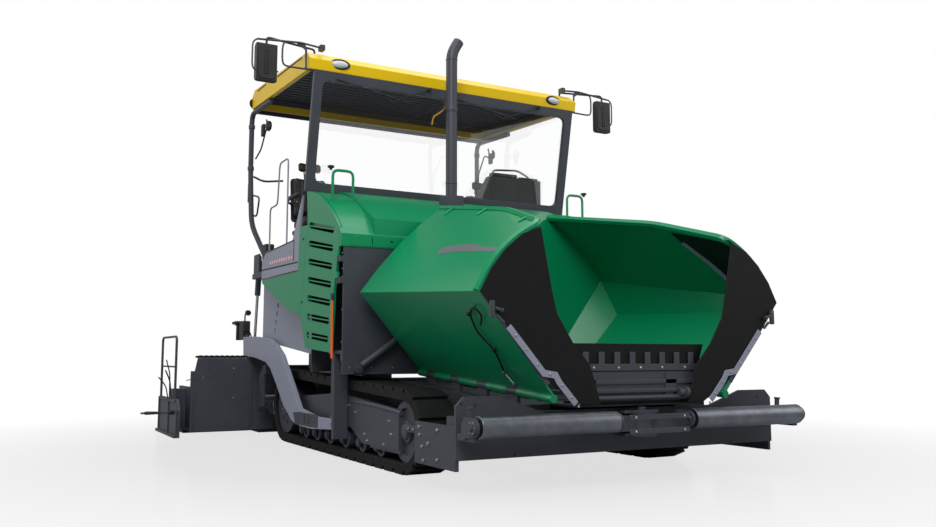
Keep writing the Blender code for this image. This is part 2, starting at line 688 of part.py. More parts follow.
def make_wing(side_name, side, body):
    shape = bmesh.new()
    rows = []
    for share in WING_STATION_SHARES:
        y, line = wing_section(share)
        rows.append([shape.verts.new((side * x, y, z)) for x, z in line])
    for before, after in zip(rows, rows[1:]):
        for one in range(len(before) - 1):
            shape.faces.new((before[one], before[one + 1], after[one + 1], after[one]))
    bmesh.ops.recalc_face_normals(shape, faces=shape.faces)
    mesh = bpy.data.meshes.new("sheet")
    shape.to_mesh(mesh)
    shape.free()
    sheet = add_mesh("sheet_" + side_name, mesh)
    solid = sheet.modifiers.new("Thickness", "SOLIDIFY")
    solid.thickness = WING_SHEET
    solid.offset = 0
    solid.use_even_offset = True
    pieces = [to_mesh(sheet)]
    length = WING_REAR - WING_FRONT
    front_share = (WING_RAIL_RADIUS + BITE) / length
    tops = [(wing_section(share)[0], wing_section(share)[1][-1])
            for share in (*reversed(WING_STATION_SHARES[1:]), front_share)]
    y, front_line = wing_section(front_share)
    rail = [(side * x, place, z) for place, (x, z) in tops]
    rail += [(side * (x + BITE / 2), y, z) for x, z in reversed(front_line[1:-1])]
    pieces.append(tube("rail_" + side_name, rail, WING_RAIL_RADIUS, bend=WING_RAIL_BEND, smooth=1))
    half = (KNUCKLE_LENGTH / 2 + SEAT - BITE) / length  # runs into the notches, which cut it to length
    starts = [0] + [share + half for share in KNUCKLE_SHARES]
    stops = [share - half for share in KNUCKLE_SHARES] + [1]
    for number, (start, stop) in enumerate(zip(starts, stops)):
        low, high = WING_FRONT + length * start, WING_FRONT + length * stop
        pieces.append(rod(f"knuckle_{side_name}_{number}", (side * WING_HINGE_X, low, hinge_z(low)),
                          (side * WING_HINGE_X, high, hinge_z(high)), HINGE_RADIUS, 12))
    y, line = wing_section(1.0)
    foot, top = line[0], line[-1]
    plate = [(REAR_INNER_LOW_X, foot[1] + REAR_LOW), (foot[0] + PLATE, foot[1] + PLATE),
             *[(x - BITE, z) for x, z in line[1:-1]], top,
             (REAR_INNER_X, top[1] - REAR_LOW), (REAR_INNER_X, REAR_INNER_HIGH)]
    pieces.append(slab("rear_" + side_name, "Y", WING_REAR - REAR_PLATE, WING_REAR - BITE / 4,
                       [(side * x, z) for x, z in plate]))
    pieces.append(rod("lug_" + side_name, (side * LUG_X, WING_REAR - REAR_PLATE / 2, LUG_Z),
                      (side * LUG_X, WING_REAR + LUG_LENGTH, LUG_Z), LUG_PIN_RADIUS, 12))
    wing = fuse("wing_" + side_name, pieces)
    notches = []
    for number, share in enumerate(KNUCKLE_SHARES):
        reach = KNUCKLE_LENGTH / 2 + SEAT
        low, high = WING_FRONT + length * share - reach, WING_FRONT + length * share + reach
        notches.append(rod(f"notch_{side_name}_{number}", (side * WING_HINGE_X, low, hinge_z(low)),
                           (side * WING_HINGE_X, high, hinge_z(high)), HINGE_RADIUS + RUN, 12))
    return finish(cut(wing, notches), GREEN, body)


FLAP_THICK = 0.012
FLAP_LOW = 0.565


def make_wing_rubber(side_name, side, body):
    """The rubber curtain on the wing's front edge, down to above the push roller."""
    rear = WING_FRONT - SEAT
    line = wing_section(0)[1]
    edge = [*line[1:-1], (WING_TOP_FRONT_X + PLATE / 2, WING_TOP_FRONT_Z - PLATE), (0.80, 1.35), (0.76, 1.19), (0.63, 0.99), (0.49, 0.84),
            (0.40, FLAP_LOW), (0.55, FLAP_LOW), (WING_HINGE_X, WING_HINGE_FRONT_Z + WING_RISE * 2)]
    flap = slab("wing_rubber_" + side_name, "Y", rear - FLAP_THICK, rear, [(side * x, z) for x, z in edge])
    return finish(flap, BLACK, body)


BASE_X = 1.340
BASE_Z = 0.800
RAM_Y = -0.950
BARREL_RADIUS = 0.032
ROD_RADIUS = 0.018
EYE_OUTER = 0.042
EYE_WIDTH = 0.024
BARREL_END = 0.425
RAM_ENGAGED = 0.090


def along(start, end, distance):
    start, end = Vector(start), Vector(end)
    return start + (end - start).normalized() * distance


def make_ram(label, side_name, start, end, barrel_end, barrel_body, rod_body, barrel_radius,
             rod_radius, eye_outer, barrel_pin, rod_pin, eye_width, axis, engaged, pin_reach=None):
    """A cylinder's barrel and rod, each with an eye, the barrel bored for the rod.

    With a pin reach, the rod's eye is solid and carries its pin out to that place.
    """
    u, v = {"X": (1, 2), "Y": (0, 2)}[axis]
    across = {"X": 0, "Y": 1}[axis]
    low, high = start[across] - eye_width / 2, start[across] + eye_width / 2
    eye = ring("eye", axis, low, high, start[u], start[v], eye_outer, bore(barrel_pin, 12), 12)
    case = rod("case", along(start, end, (barrel_pin + eye_outer) / 2), along(start, end, barrel_end),
               barrel_radius)
    hole = rod("hole", along(start, end, eye_outer + BITE), along(start, end, barrel_end + OVERRUN),
               bore(rod_radius, 16))
    barrel = fuse(f"{label}_barrel_{side_name}", [eye, case])
    cut(barrel, [hole])
    finish(barrel, GREY, barrel_body)
    bar = rod("bar", along(end, start, (rod_pin + eye_outer) / 2),
              along(start, end, barrel_end - engaged), rod_radius)
    if pin_reach is None:
        pieces = [ring("eye", axis, low, high, end[u], end[v], eye_outer, rod_pin, 12), bar]
    else:
        tip = list(end)
        tip[across] = pin_reach
        pieces = [slab("eye", axis, low, high, circle(end[u], end[v], eye_outer, 12)), bar,
                  rod("pin", end, tip, rod_pin, 12)]
    finish(fuse(f"{label}_rod_{side_name}", pieces), CHROME, rod_body)


OPENING_HALF = 0.560
OPENING_HIGH = 0.900
HOUSING_WALL = 0.020
HOUSING_HALF = 1.470
HOUSING_FLOOR = 0.016
DOOR_AXIS_Y = -0.850
DOOR_KNUCKLE = 0.050
DOOR_KNUCKLE_RADIUS = 0.012
DOOR_KNUCKLE_TOPS = (1.580, 1.770)


def make_housing():
    """The engine bay: front wall with the conveyor mouth, floor, roof rib and rear wall."""
    low, high = HOUSING_LOW, HOOD_FRONT_LOW - SEAT
    front = HOUSING_FRONT
    edge = [(-HOUSING_HALF, low), (-OPENING_HALF, low), (-OPENING_HALF, OPENING_HIGH),
            (OPENING_HALF, OPENING_HIGH), (OPENING_HALF, low), (HOUSING_HALF, low),
            (HOUSING_HALF, high), (-HOUSING_HALF, high)]
    pieces = [slab("wall", "Y", front, front + HOUSING_WALL, edge)]
    for side_name, side in SIDES:
        pieces.append(box("floor_" + side_name, (side * OPENING_HALF, front + HOUSING_WALL / 2, low),
                          (side * (TRACK_OUTER_X + RUN - SEAT), HOOD_REAR - SEAT, low + HOUSING_FLOOR)))
        pieces.append(rod("base_pin_" + side_name, (side * BASE_X, front + BITE, BASE_Z),
                          (side * BASE_X, RAM_Y - EYE_WIDTH, BASE_Z), LUG_PIN_RADIUS, 12))
        pieces.append(box("lug_pad_" + side_name, (side * (BASE_X - EYE_OUTER), front + BITE, low + BITE),
                          (side * (BASE_X + EYE_OUTER), RAM_Y + BARREL_RADIUS + RUN, BASE_Z + EYE_OUTER)))
    pieces.append(box("tie", (-HOUSING_HALF + PLATE * 2, HOOD_REAR - HOUSING_WALL - SEAT, low + BITE),
                      (HOUSING_HALF - PLATE * 2, HOOD_REAR - SEAT, high)))
    pieces.append(box("mouth_roof", (-OPENING_HALF - PLATE, front + BITE, OPENING_HIGH),
                      (OPENING_HALF + PLATE, HOOD_REAR - SEAT - BITE, OPENING_HIGH + HOUSING_WALL)))
    for side_name, side in SIDES:
        pieces.append(box("mouth_cheek_" + side_name, (side * OPENING_HALF, front + BITE, low + BITE),
                          (side * (OPENING_HALF + PLATE), HOOD_REAR - SEAT - BITE, OPENING_HIGH + BITE)))
    for side_name, side in SIDES:
        for number, top in enumerate(DOOR_KNUCKLE_TOPS):
            axis_x = side * (BODY_HALF + BITE)
            pieces.append(rod(f"door_pin_{side_name}_{number}", (axis_x, DOOR_AXIS_Y, top - DOOR_KNUCKLE),
                              (axis_x, DOOR_AXIS_Y, top), DOOR_KNUCKLE_RADIUS, 12))
            pieces.append(box(f"door_tab_{side_name}_{number}",
                              (side * (HOUSING_HALF - BITE), front, top - DOOR_KNUCKLE),
                              (axis_x, DOOR_AXIS_Y, top)))
    housing = fuse("engine_housing", pieces)
    cut(housing, [box("conveyor_way", (-OPENING_HALF, front - OVERRUN, low - OVERRUN),
                      (OPENING_HALF, HOOD_REAR + OVERRUN, OPENING_HIGH))])
    return finish(housing, GREY)


ENGINE_HIGH = 1.700
ENGINE_HALF = 0.420
ENGINE_FRONT = -0.760
ENGINE_REAR = -0.060


def make_engine():
    return finish(box("engine_block", (-ENGINE_HALF, ENGINE_FRONT, OPENING_HIGH + HOUSING_WALL + SEAT),
                      (ENGINE_HALF, ENGINE_REAR, ENGINE_HIGH)), GREY)


HOOD_WALL = 0.014
HOOD_CURVE_Y = 0.279  # centre and radius of the curve of the hood's top, seen from the side
HOOD_CURVE_Z = 0.950
HOOD_CURVE_RADIUS = 1.562
HOOD_CURVE_SHARES = (0.0, 0.06, 0.14, 0.24, 0.36, 0.50, 0.66, 0.83, 1.0)
HOOD_CENTRE_HALF = 1.180
HOOD_CENTRE_RISE = 0.022
HOOD_CENTRE_FRONT_Z = 2.120
HOOD_CENTRE_BREAK_Y = -0.560
HOOD_CENTRE_REAR = 0.020
GRILLE_COUNT = 12
GRILLE_INNER = 0.780
GRILLE_PITCH = 0.052
GRILLE_SLOT = 0.026
GRILLE_LOW = 1.885
GRILLE_HIGH = 1.945
HANDLE_RADIUS = 0.014
HANDLE_X = 1.320
HANDLE_RISE = 0.290
HANDLE_SPAN = 0.200
HANDLE_Y = -0.450


def hood_line():
    """Points of the hood's curved top, from its front edge to its rear edge."""
    front = HOUSING_FRONT - HOOD_WALL / 2
    places = [mix(front, HOOD_REAR, share) for share in HOOD_CURVE_SHARES]
    return [(y, HOOD_CURVE_Z + (HOOD_CURVE_RADIUS ** 2 - (y - HOOD_CURVE_Y) ** 2) ** 0.5) for y in places]


def hood_top_z(y):
    """Height of the faceted top at a place along the hood."""
    for (start, low), (stop, high) in zip(hood_line(), hood_line()[1:]):
        if y <= stop:
            return mix(low, high, (y - start) / (stop - start))
    return hood_line()[-1][1]


def make_hood():
    """The green hood: a curved shell between the side doors, with a full-width front strip."""
    front, wall = HOUSING_FRONT - HOOD_WALL / 2, HOOD_WALL
    inside = BODY_HALF - SKIN - RUN
    strip_rear = DOOR_AXIS_Y - RUN
    line = hood_line()
    outer = [(front, HOOD_FRONT_LOW), *line, (HOOD_REAR, HOOD_SIDE_REAR_Z),
             (strip_rear, HOOD_SIDE_FRONT_Z), (strip_rear, HOOD_FRONT_LOW)]
    hood = slab("hood", "X", -inside, inside, outer)
    strip = [(front, HOOD_FRONT_LOW), *[point for point in line if point[0] < strip_rear],
             (strip_rear, hood_top_z(strip_rear)), (strip_rear, HOOD_FRONT_LOW)]
    pieces = [slab("strip", "X", -BODY_HALF, BODY_HALF, strip)]
    crown = [(y, z) for y, z in line if HOOD_CENTRE_BREAK_Y < y < HOOD_CENTRE_REAR]
    crown.append((HOOD_CENTRE_REAR, hood_top_z(HOOD_CENTRE_REAR)))
    middle = [(front + BITE, HOOD_FRONT_HIGH), (front + wall, HOOD_CENTRE_FRONT_Z),
              *[(y, z + HOOD_CENTRE_RISE) for y, z in crown],
              *[(y, z - wall) for y, z in reversed(crown)], (front + wall, HOOD_FRONT_HIGH - wall)]
    pieces.append(slab("middle", "X", -HOOD_CENTRE_HALF, HOOD_CENTRE_HALF, middle))
    for side_name, side in SIDES:
        x, y = side * HANDLE_X, HANDLE_Y
        low = hood_top_z(y)
        reach = side * HANDLE_SPAN / 2
        pieces.append(tube("handle_" + side_name,
                           [(x - reach, y, low - BITE), (x - reach, y, low + HANDLE_RISE),
                            (x + reach, y, low + HANDLE_RISE), (x + reach, y, low - BITE)],
                           HANDLE_RADIUS, bend=HANDLE_RADIUS * 4))
    combine(hood, pieces, "UNION")
    inner = [(front + wall, HOOD_FRONT_LOW - OVERRUN),
             *[(y + wall, z - wall * 2) for y, z in line[:-1]],
             (HOOD_REAR - wall, line[-1][1] - wall * 2), (HOOD_REAR - wall, HOOD_FRONT_LOW - OVERRUN)]
    cutters = [slab("hood_hollow", "X", -inside + SKIN, inside - SKIN, inner)]
    for side_name, side in SIDES:
        for number in range(GRILLE_COUNT):
            x = side * (GRILLE_INNER + GRILLE_PITCH * number)
            cutters.append(box(f"grille_{side_name}_{number}", (x, front - OVERRUN, GRILLE_LOW),
                               (x + side * GRILLE_SLOT, front + wall + BITE, GRILLE_HIGH)))
    return finish(cut(hood, cutters), GREEN)


DOOR_REAR_LOW_Y = 0.020
DOOR_REAR_MID_Y = 0.190
DOOR_REAR_HIGH_Y = 0.000
DOOR_LOW = 0.930
DOOR_MID = 1.300
DOOR_HIGH_REAR = 2.155
DOOR_TOP_REAR_Y = 0.050
LOUVRE_COUNT = 7
LOUVRE_TOP_FRONT = (-0.699, 2.018)  # y, z of the first louvre's front and rear ends
LOUVRE_TOP_REAR = (-0.060, 2.145)
LOUVRE_LOW_FRONT = (-0.590, 1.050)
LOUVRE_LOW_REAR = (-0.040, 1.100)
LOUVRE_HALF = 0.030
LOUVRE_BLADE = 0.006
LOUVRE_STEPS = 4
DOOR_STEP_Y = -0.740
DOOR_STEP_Z = 1.480
DOOR_LOW_Y = -0.690


def louvre_ends(number):
    """Front and rear ends of a louvre, between the first one and the last."""
    share = number / (LOUVRE_COUNT - 1)
    return tuple(tuple(mix(high, low, share) for high, low in zip(top, bottom))
                 for top, bottom in ((LOUVRE_TOP_FRONT, LOUVRE_LOW_FRONT), (LOUVRE_TOP_REAR, LOUVRE_LOW_REAR)))


def louvre_slot(number):
    """A slot with round ends, about along the line between a louvre's two ends."""
    (front_y, front_z), (rear_y, rear_z) = louvre_ends(number)
    lean = atan2(rear_z - front_z, rear_y - front_y) * 180 / pi
    return (arc(front_y, front_z, LOUVRE_HALF, lean + 90, lean + 270, LOUVRE_STEPS)
            + arc(rear_y, rear_z, LOUVRE_HALF, lean - 90, lean + 90, LOUVRE_STEPS))


def make_side_door(side_name, side, body):
    """The louvred door, hinged at its front edge, with one slanted blade in each louvre."""
    front, axis_x = DOOR_AXIS_Y, side * (BODY_HALF + BITE)
    top = [(y, z) for y, z in hood_line() if front + BITE < y < DOOR_TOP_REAR_Y]
    outline = [(DOOR_LOW_Y, DOOR_LOW), (DOOR_REAR_LOW_Y, DOOR_LOW + SKIN * 2), (DOOR_REAR_MID_Y, DOOR_MID),
               (DOOR_REAR_HIGH_Y, DOOR_HIGH_REAR), (DOOR_TOP_REAR_Y, hood_top_z(DOOR_TOP_REAR_Y)),
               *reversed(top), (front, hood_top_z(front)), (front, HOOD_FRONT_LOW - RUN),
               (DOOR_STEP_Y, DOOR_STEP_Z)]
    slots = [louvre_slot(number) for number in range(LOUVRE_COUNT)]
    inner = side * (BODY_HALF - SKIN)
    pieces = [slab("side_door_" + side_name, "X", inner, side * BODY_HALF, outline, *slots)]
    for number in range(LOUVRE_COUNT):
        (front_y, front_z), (rear_y, rear_z) = louvre_ends(number)
        front_y, rear_y = front_y - LOUVRE_HALF - BITE, rear_y + LOUVRE_HALF + BITE
        blade = [(front_y, front_z - LOUVRE_BLADE), (rear_y, rear_z - LOUVRE_BLADE),
                 (rear_y, rear_z + LOUVRE_BLADE), (front_y, front_z + LOUVRE_BLADE)]
        pieces.append(slab(f"blade_{number}", "X", inner + side * BITE / 2, side * (BODY_HALF - SKIN / 3), blade))
    for number, low in enumerate(DOOR_KNUCKLE_TOPS):
        low += SEAT
        pieces.append(rod(f"knuckle_{number}", (axis_x, front, low), (axis_x, front, low + DOOR_KNUCKLE),
                          DOOR_KNUCKLE_RADIUS, 12))
        pieces.append(box(f"leaf_{number}", (side * (BODY_HALF - SKIN / 2), front, low),
                          (side * BODY_HALF, DOOR_STEP_Y + PLATE, low + DOOR_KNUCKLE)))
    return finish(fuse("side_door_" + side_name, pieces), GREEN, body)


WEDGE_TIP_Y = 1.570
WEDGE_TIP_Z = 1.705
WEDGE_TOP_Z = 1.732
WEDGE_MID_Y = 0.760
WEDGE_MID_Z = 1.420
SIDE_PANEL_FRONT = 0.290
SIDE_PANEL_REAR = 1.590
SIDE_PANEL_TOP = 2.050


def make_side_panel(side_name, side):
    """The green wedge behind the louvred door."""
    outline = [(DOOR_REAR_MID_Y + RUN, DOOR_MID), (mix(DOOR_REAR_MID_Y, WEDGE_MID_Y, 0.5), mix(DOOR_MID, WEDGE_MID_Z, 0.35)),
               (WEDGE_MID_Y, WEDGE_MID_Z), (WEDGE_TIP_Y, WEDGE_TIP_Z), (WEDGE_TIP_Y, WEDGE_TOP_Z),
               (SIDE_PANEL_FRONT, WEDGE_TOP_Z), (SIDE_PANEL_FRONT - 0.03, DOOR_HIGH_REAR + 0.02),
               (DOOR_REAR_HIGH_Y + RUN, DOOR_HIGH_REAR)]
    return finish(slab("side_panel_" + side_name, "X", side * (BODY_HALF - SKIN), side * BODY_HALF, outline), GREEN)


REAR_HALF = 1.360
REAR_HOUSING_TOP = PLATFORM_TOP - PLATFORM_THICK
REAR_FRONT_LOW = 0.905
REAR_REAR_LOW = 1.080
REAR_HOUSING_REAR = 1.990
LOWER_REAR = 1.775
SIDE_HOLE_TOP = (1.409, 1.461)  # y, z of the middles of the first and last of a column of square holes
SIDE_HOLE_LOW = (1.501, 1.178)
SIDE_HOLE_COUNT = 4
SIDE_HOLE_HALF = 0.024
SIDE_HOLE_DEPTH = 0.030


def make_rear_housing():
    """Fuel and oil tanks under the platform, stepped up over the tracks."""
    front = HOOD_REAR + SEAT
    outline = [(front, REAR_FRONT_LOW), (REAR_HOUSING_REAR, REAR_REAR_LOW), (REAR_HOUSING_REAR, REAR_HOUSING_TOP - SEAT),
               (front, REAR_HOUSING_TOP - SEAT)]
    upper = slab("upper", "X", -REAR_HALF, REAR_HALF, outline)
    lower = box("lower", (-CHASSIS_HALF + PLATE, front + PLATE, CHASSIS_TOP + SEAT),
                (CHASSIS_HALF - PLATE, LOWER_REAR, REAR_REAR_LOW + PLATE))
    body = fuse("rear_housing", [upper, lower])
    tunnel = box("tunnel", (-OPENING_HALF, front - OVERRUN, CHASSIS_TOP - OVERRUN),
                 (OPENING_HALF, REAR_HOUSING_REAR + OVERRUN, OPENING_HIGH))
    cutters = [tunnel]
    for side_name, side in SIDES:
        for number in range(SIDE_HOLE_COUNT):
            y, z = (mix(top, low, number / (SIDE_HOLE_COUNT - 1)) for top, low in zip(SIDE_HOLE_TOP, SIDE_HOLE_LOW))
            cutters.append(box(f"hole_{side_name}_{number}",
                               (side * (REAR_HALF - SIDE_HOLE_DEPTH), y - SIDE_HOLE_HALF, z - SIDE_HOLE_HALF),
                               (side * (REAR_HALF + OVERRUN), y + SIDE_HOLE_HALF, z + SIDE_HOLE_HALF)))
    cut(body, cutters)
    return finish(body, LIGHT_GREY)


DASH_DEPTH = 0.100
LIFT_X = 1.370
LIFT_TOP_Y = 2.160
LIFT_TOP_Z = 2.050
LIFT_PIN_RADIUS = 0.014
LIFT_EYE_OUTER = 0.036
LIFT_EYE_WIDTH = 0.030
LIFT_PLATE = 0.020
LIFT_BARREL_RADIUS = 0.034


def screen_lean():
    return atan2(SCREEN_BOTTOM_Y - SCREEN_TOP_Y, SCREEN_TOP_Z - SCREEN_BOTTOM_Z)


def make_platform_floor():
    dash_top = SCREEN_BOTTOM_Z - (SCREEN_BOTTOM_Y - HOOD_REAR) * tan(screen_lean()) - 2 * SEAT
    floor = box("platform_floor", (-BODY_HALF + SKIN + SEAT, HOOD_REAR + SEAT, PLATFORM_TOP - PLATFORM_THICK),
                (BODY_HALF - SKIN - SEAT, PLATFORM_REAR, PLATFORM_TOP))
    pieces = [floor, box("dash", (-BODY_HALF + SKIN * 2, HOOD_REAR + SEAT, PLATFORM_TOP - BITE),
                         (BODY_HALF - SKIN * 2, HOOD_REAR + DASH_DEPTH, dash_top))]
    for side_name, side in SIDES:
        inner = LIFT_X + LIFT_BARREL_RADIUS + RUN
        pieces.append(box("lift_plate_" + side_name, (side * inner, PLATFORM_REAR - DASH_DEPTH, PLATFORM_TOP - PLATFORM_THICK / 2),
                          (side * (inner + LIFT_PLATE), LIFT_TOP_Y + LIFT_EYE_OUTER, LIFT_TOP_Z + LIFT_EYE_OUTER)))
        pieces.append(rod("lift_pin_" + side_name, (side * (inner + BITE), LIFT_TOP_Y, LIFT_TOP_Z),
                          (side * (LIFT_X - LIFT_EYE_WIDTH / 2 - RUN / 2), LIFT_TOP_Y, LIFT_TOP_Z), LIFT_PIN_RADIUS, 12))
    return finish(fuse("platform_floor", pieces), GREY)


RAIL_RADIUS = 0.019
RAIL_FRONT_Y = 0.720
RAIL_HIGH = 2.960
RAIL_MID = 2.520


def make_platform_side(side_name, side):
    inner = side * (BODY_HALF - SKIN)
    panel = slab("panel", "X", inner, side * BODY_HALF,
                 [(SIDE_PANEL_FRONT, WEDGE_TOP_Z + SEAT), (SIDE_PANEL_REAR, WEDGE_TOP_Z + SEAT),
                  (SIDE_PANEL_REAR, SIDE_PANEL_TOP - 0.1), (1.42, SIDE_PANEL_TOP), (0.50, SIDE_PANEL_TOP),
                  (0.19, SCREEN_BOTTOM_Z - PLATE), (SIDE_PANEL_FRONT - 0.03 + SEAT, DOOR_HIGH_REAR + 0.02 + SEAT)])
    x = side * (BODY_HALF - SKIN / 2)
    rail = tube("rail", [(x, RAIL_FRONT_Y, SIDE_PANEL_TOP - BITE * 2), (x, RAIL_FRONT_Y, RAIL_HIGH),
                         (x, RAIL_FRONT_Y + 0.3, RAIL_HIGH), (x, RAIL_FRONT_Y + 0.36, RAIL_MID),
                         (x, SIDE_PANEL_REAR - 0.24, RAIL_MID), (x, SIDE_PANEL_REAR - 0.24, SIDE_PANEL_TOP - BITE * 2)],
                RAIL_RADIUS / 2, bend=0.06)
    return finish(fuse("platform_side_" + side_name, [panel, rail]), LIGHT_GREY)


FRAME_BAR = 0.092
FRAME_DEPTH = 0.050
GLASS_THICK = 0.008
SCREEN_CORNER = 0.075


def screen_matrix():
    """Places a flat piece, drawn from the bottom hinge up, in the leaning screen's plane."""
    return (Matrix.Translation((0, SCREEN_BOTTOM_Y, SCREEN_BOTTOM_Z))
            @ Matrix.Rotation(screen_lean(), 4, "X"))


def screen_height():
    """Length of the leaning frame that brings its rear top edge up to the roof's front wall."""
    lean, slope = screen_lean(), (ROOF_REAR_LOW - ROOF_FRONT_LOW) / (ROOF_REAR - ROOF_FRONT
                                                                      - ROOF_LIP - ROOF_REAR_LIP)
    half = FRAME_DEPTH / 2
    foot_gap = ROOF_FRONT_LOW - SEAT - SCREEN_BOTTOM_Z - half * sin(lean)
    run = SCREEN_BOTTOM_Y + half * cos(lean) - ROOF_FRONT - ROOF_LIP
    return (foot_gap + slope * run) / (cos(lean) + slope * sin(lean))


def make_screen():
    height = screen_height()
    corners = [(-SCREEN_HALF + FRAME_BAR, FRAME_BAR), (SCREEN_HALF - FRAME_BAR, FRAME_BAR),
               (SCREEN_HALF - FRAME_BAR, height - FRAME_BAR), (-SCREEN_HALF + FRAME_BAR, height - FRAME_BAR)]
    opening = [tuple(point) for point in rounded(corners, SCREEN_CORNER, steps=4, closed=True)]
    edge = [(-SCREEN_HALF, 0), (SCREEN_HALF, 0), (SCREEN_HALF, height), (-SCREEN_HALF, height)]
    frame = slab("windscreen_frame", "Y", -FRAME_DEPTH / 2, FRAME_DEPTH / 2, edge, opening)
    pane = [(x - SEAT * 2 * (x > 0) + SEAT * 2 * (x < 0), z + SEAT * (1 if z < height / 2 else -1)) for x, z in opening]
    glass = slab("windscreen_glass", "Y", -GLASS_THICK / 2, GLASS_THICK / 2, pane)
    for piece in (frame, glass):
        piece.data.transform(screen_matrix())
    finish(frame, GREY)
    finish(glass, GLASS)


ROOF_WALL = 0.050
ROOF_SKIN = 0.035
ROOF_BREAK = 0.120
ROOF_LIP = 0.020
ROOF_REAR_LIP = 0.030


def make_roof():
    profile = [(ROOF_FRONT + ROOF_LIP, ROOF_FRONT_LOW), (ROOF_FRONT, ROOF_FRONT_LOW + 0.10),
               (ROOF_FRONT + ROOF_BREAK, ROOF_FRONT_TOP), (ROOF_REAR - ROOF_BREAK, ROOF_REAR_TOP),
               (ROOF_REAR, ROOF_REAR_TOP - 0.08), (ROOF_REAR - ROOF_REAR_LIP, ROOF_REAR_LOW)]
    body = slab("roof", "X", -ROOF_HALF, ROOF_HALF, profile)
    hollow_outline = [(ROOF_FRONT + ROOF_LIP + ROOF_WALL, ROOF_FRONT_LOW - OVERRUN),
                      (ROOF_FRONT + ROOF_BREAK, ROOF_FRONT_TOP - ROOF_SKIN * 2),
                      (ROOF_REAR - ROOF_BREAK, ROOF_REAR_TOP - ROOF_SKIN * 2),
                      (ROOF_REAR - ROOF_REAR_LIP - ROOF_WALL, ROOF_REAR_LOW - OVERRUN * 3)]
    hollow = slab("roof_hollow", "X", -ROOF_HALF + ROOF_WALL, ROOF_HALF - ROOF_WALL, hollow_outline)
    cut(body, [hollow])
    return finish(body, YELLOW)


LINING_THICK = 0.008
LINING_RIB = 0.018
LINING_RIB_COUNT = 16


def make_roof_lining():
    """The dark ribbed sheet that lines the inside of the roof."""
    front, rear = ROOF_FRONT + ROOF_BREAK + SKIN, ROOF_REAR - ROOF_BREAK - SKIN
    pitch = (rear - front) / LINING_RIB_COUNT
    drop = ROOF_SKIN * 2 + SEAT
    line = [(front, roof_top_z(front) - drop)]
    for number in range(LINING_RIB_COUNT):
        start = front + pitch * number
        for y, depth in ((start, LINING_THICK), (start + pitch / 2, LINING_THICK),
                         (start + pitch / 2, LINING_RIB), (start + pitch, LINING_RIB)):
            line.append((y, roof_top_z(y) - drop - depth))
    line.append((rear, roof_top_z(rear) - drop))
    half = ROOF_HALF - ROOF_WALL - RUN
    return finish(slab("roof_lining", "X", -half, half, line), GREY)


POST_RADIUS = 0.030
POST_X = 1.530
POST_FOOT_Y = 1.640
POST_FOOT_PLATE = 0.030
POST_BEND_Y = 1.971
POST_BEND_Z = 2.417
POST_KNEE_Y = 2.070
POST_KNEE_Z = 3.036
POST_RUN_FRONT = 1.250
CROSS_TUBE_INSET = 0.060


def roof_edge_z(y):
    """Height of the lower edge of the roof's side walls."""
    front, rear = ROOF_FRONT + ROOF_LIP, ROOF_REAR - ROOF_REAR_LIP
    return mix(ROOF_FRONT_LOW, ROOF_REAR_LOW, (y - front) / (rear - front))


def make_rear_frame():
    """The two rear roof posts, each bent forward under the roof, with a cross tube."""
    pieces = []
    gap = POST_RADIUS + 2 * SEAT
    for side_name, side in SIDES:
        x, foot_x = side * POST_X, side * (BODY_HALF - SKIN - 3 * POST_RADIUS)
        pieces.append(tube("post_" + side_name,
                           [(foot_x, POST_FOOT_Y, PLATFORM_TOP + POST_FOOT_PLATE), (x, POST_BEND_Y, POST_BEND_Z),
                            (x, POST_KNEE_Y, POST_KNEE_Z), (x, POST_KNEE_Y, roof_edge_z(POST_KNEE_Y) - gap),
                            (x, POST_RUN_FRONT, roof_edge_z(POST_RUN_FRONT) - gap)],
                           POST_RADIUS, bend=0.12, smooth=2))
        pieces.append(box("foot_" + side_name, (foot_x - 2 * POST_RADIUS, POST_FOOT_Y - 2 * POST_RADIUS, PLATFORM_TOP + SEAT),
                          (foot_x + 2 * POST_RADIUS, POST_FOOT_Y + 2 * POST_RADIUS, PLATFORM_TOP + POST_FOOT_PLATE)))
    y = ROOF_REAR - CROSS_TUBE_INSET
    z = roof_edge_z(y) - gap
    pieces.append(rod("cross_tube", (-POST_X, y, z), (POST_X, y, z), POST_RADIUS * 0.8, 10))
    return finish(fuse("rear_frame", pieces), GREY)


MIRROR_Y = -0.100
MIRROR_INNER = 1.875
MIRROR_OUTER = 2.075
MIRROR_LOW = 3.480
MIRROR_HIGH = 3.835
MIRROR_DEPTH = 0.060
BRACKET_RADIUS = 0.012


def roof_top_z(y):
    """Height of the roof's sloping top."""
    return mix(ROOF_FRONT_TOP, ROOF_REAR_TOP, (y - ROOF_FRONT - ROOF_BREAK) / (ROOF_REAR - ROOF_FRONT - 2 * ROOF_BREAK))


def make_mirror(side_name, side):
    shell = box("shell", (side * MIRROR_INNER, MIRROR_Y - MIRROR_DEPTH / 2, MIRROR_LOW),
                (side * MIRROR_OUTER, MIRROR_Y + MIRROR_DEPTH / 2, MIRROR_HIGH))
    middle = (MIRROR_INNER + MIRROR_OUTER) / 2
    high = ROOF_FRONT_TOP + 0.06
    bracket = tube("bracket", [(side * middle, MIRROR_Y, MIRROR_HIGH - BITE), (side * middle, MIRROR_Y, high),
                               (side * (ROOF_HALF - 0.10), MIRROR_Y + 0.12, high),
                               (side * (ROOF_HALF - 0.10), MIRROR_Y + 0.12, roof_top_z(MIRROR_Y + 0.12 + BRACKET_RADIUS) + SEAT)],
                   BRACKET_RADIUS, bend=0.04)
    return finish(fuse("mirror_" + side_name, [shell, bracket]), BLACK)


EXHAUST_X = -0.148
EXHAUST_Y = -0.390
EXHAUST_RADIUS = 0.057
EXHAUST_TOP = 3.970
EXHAUST_LEAN = 0.080
EXHAUST_WALL = 0.006


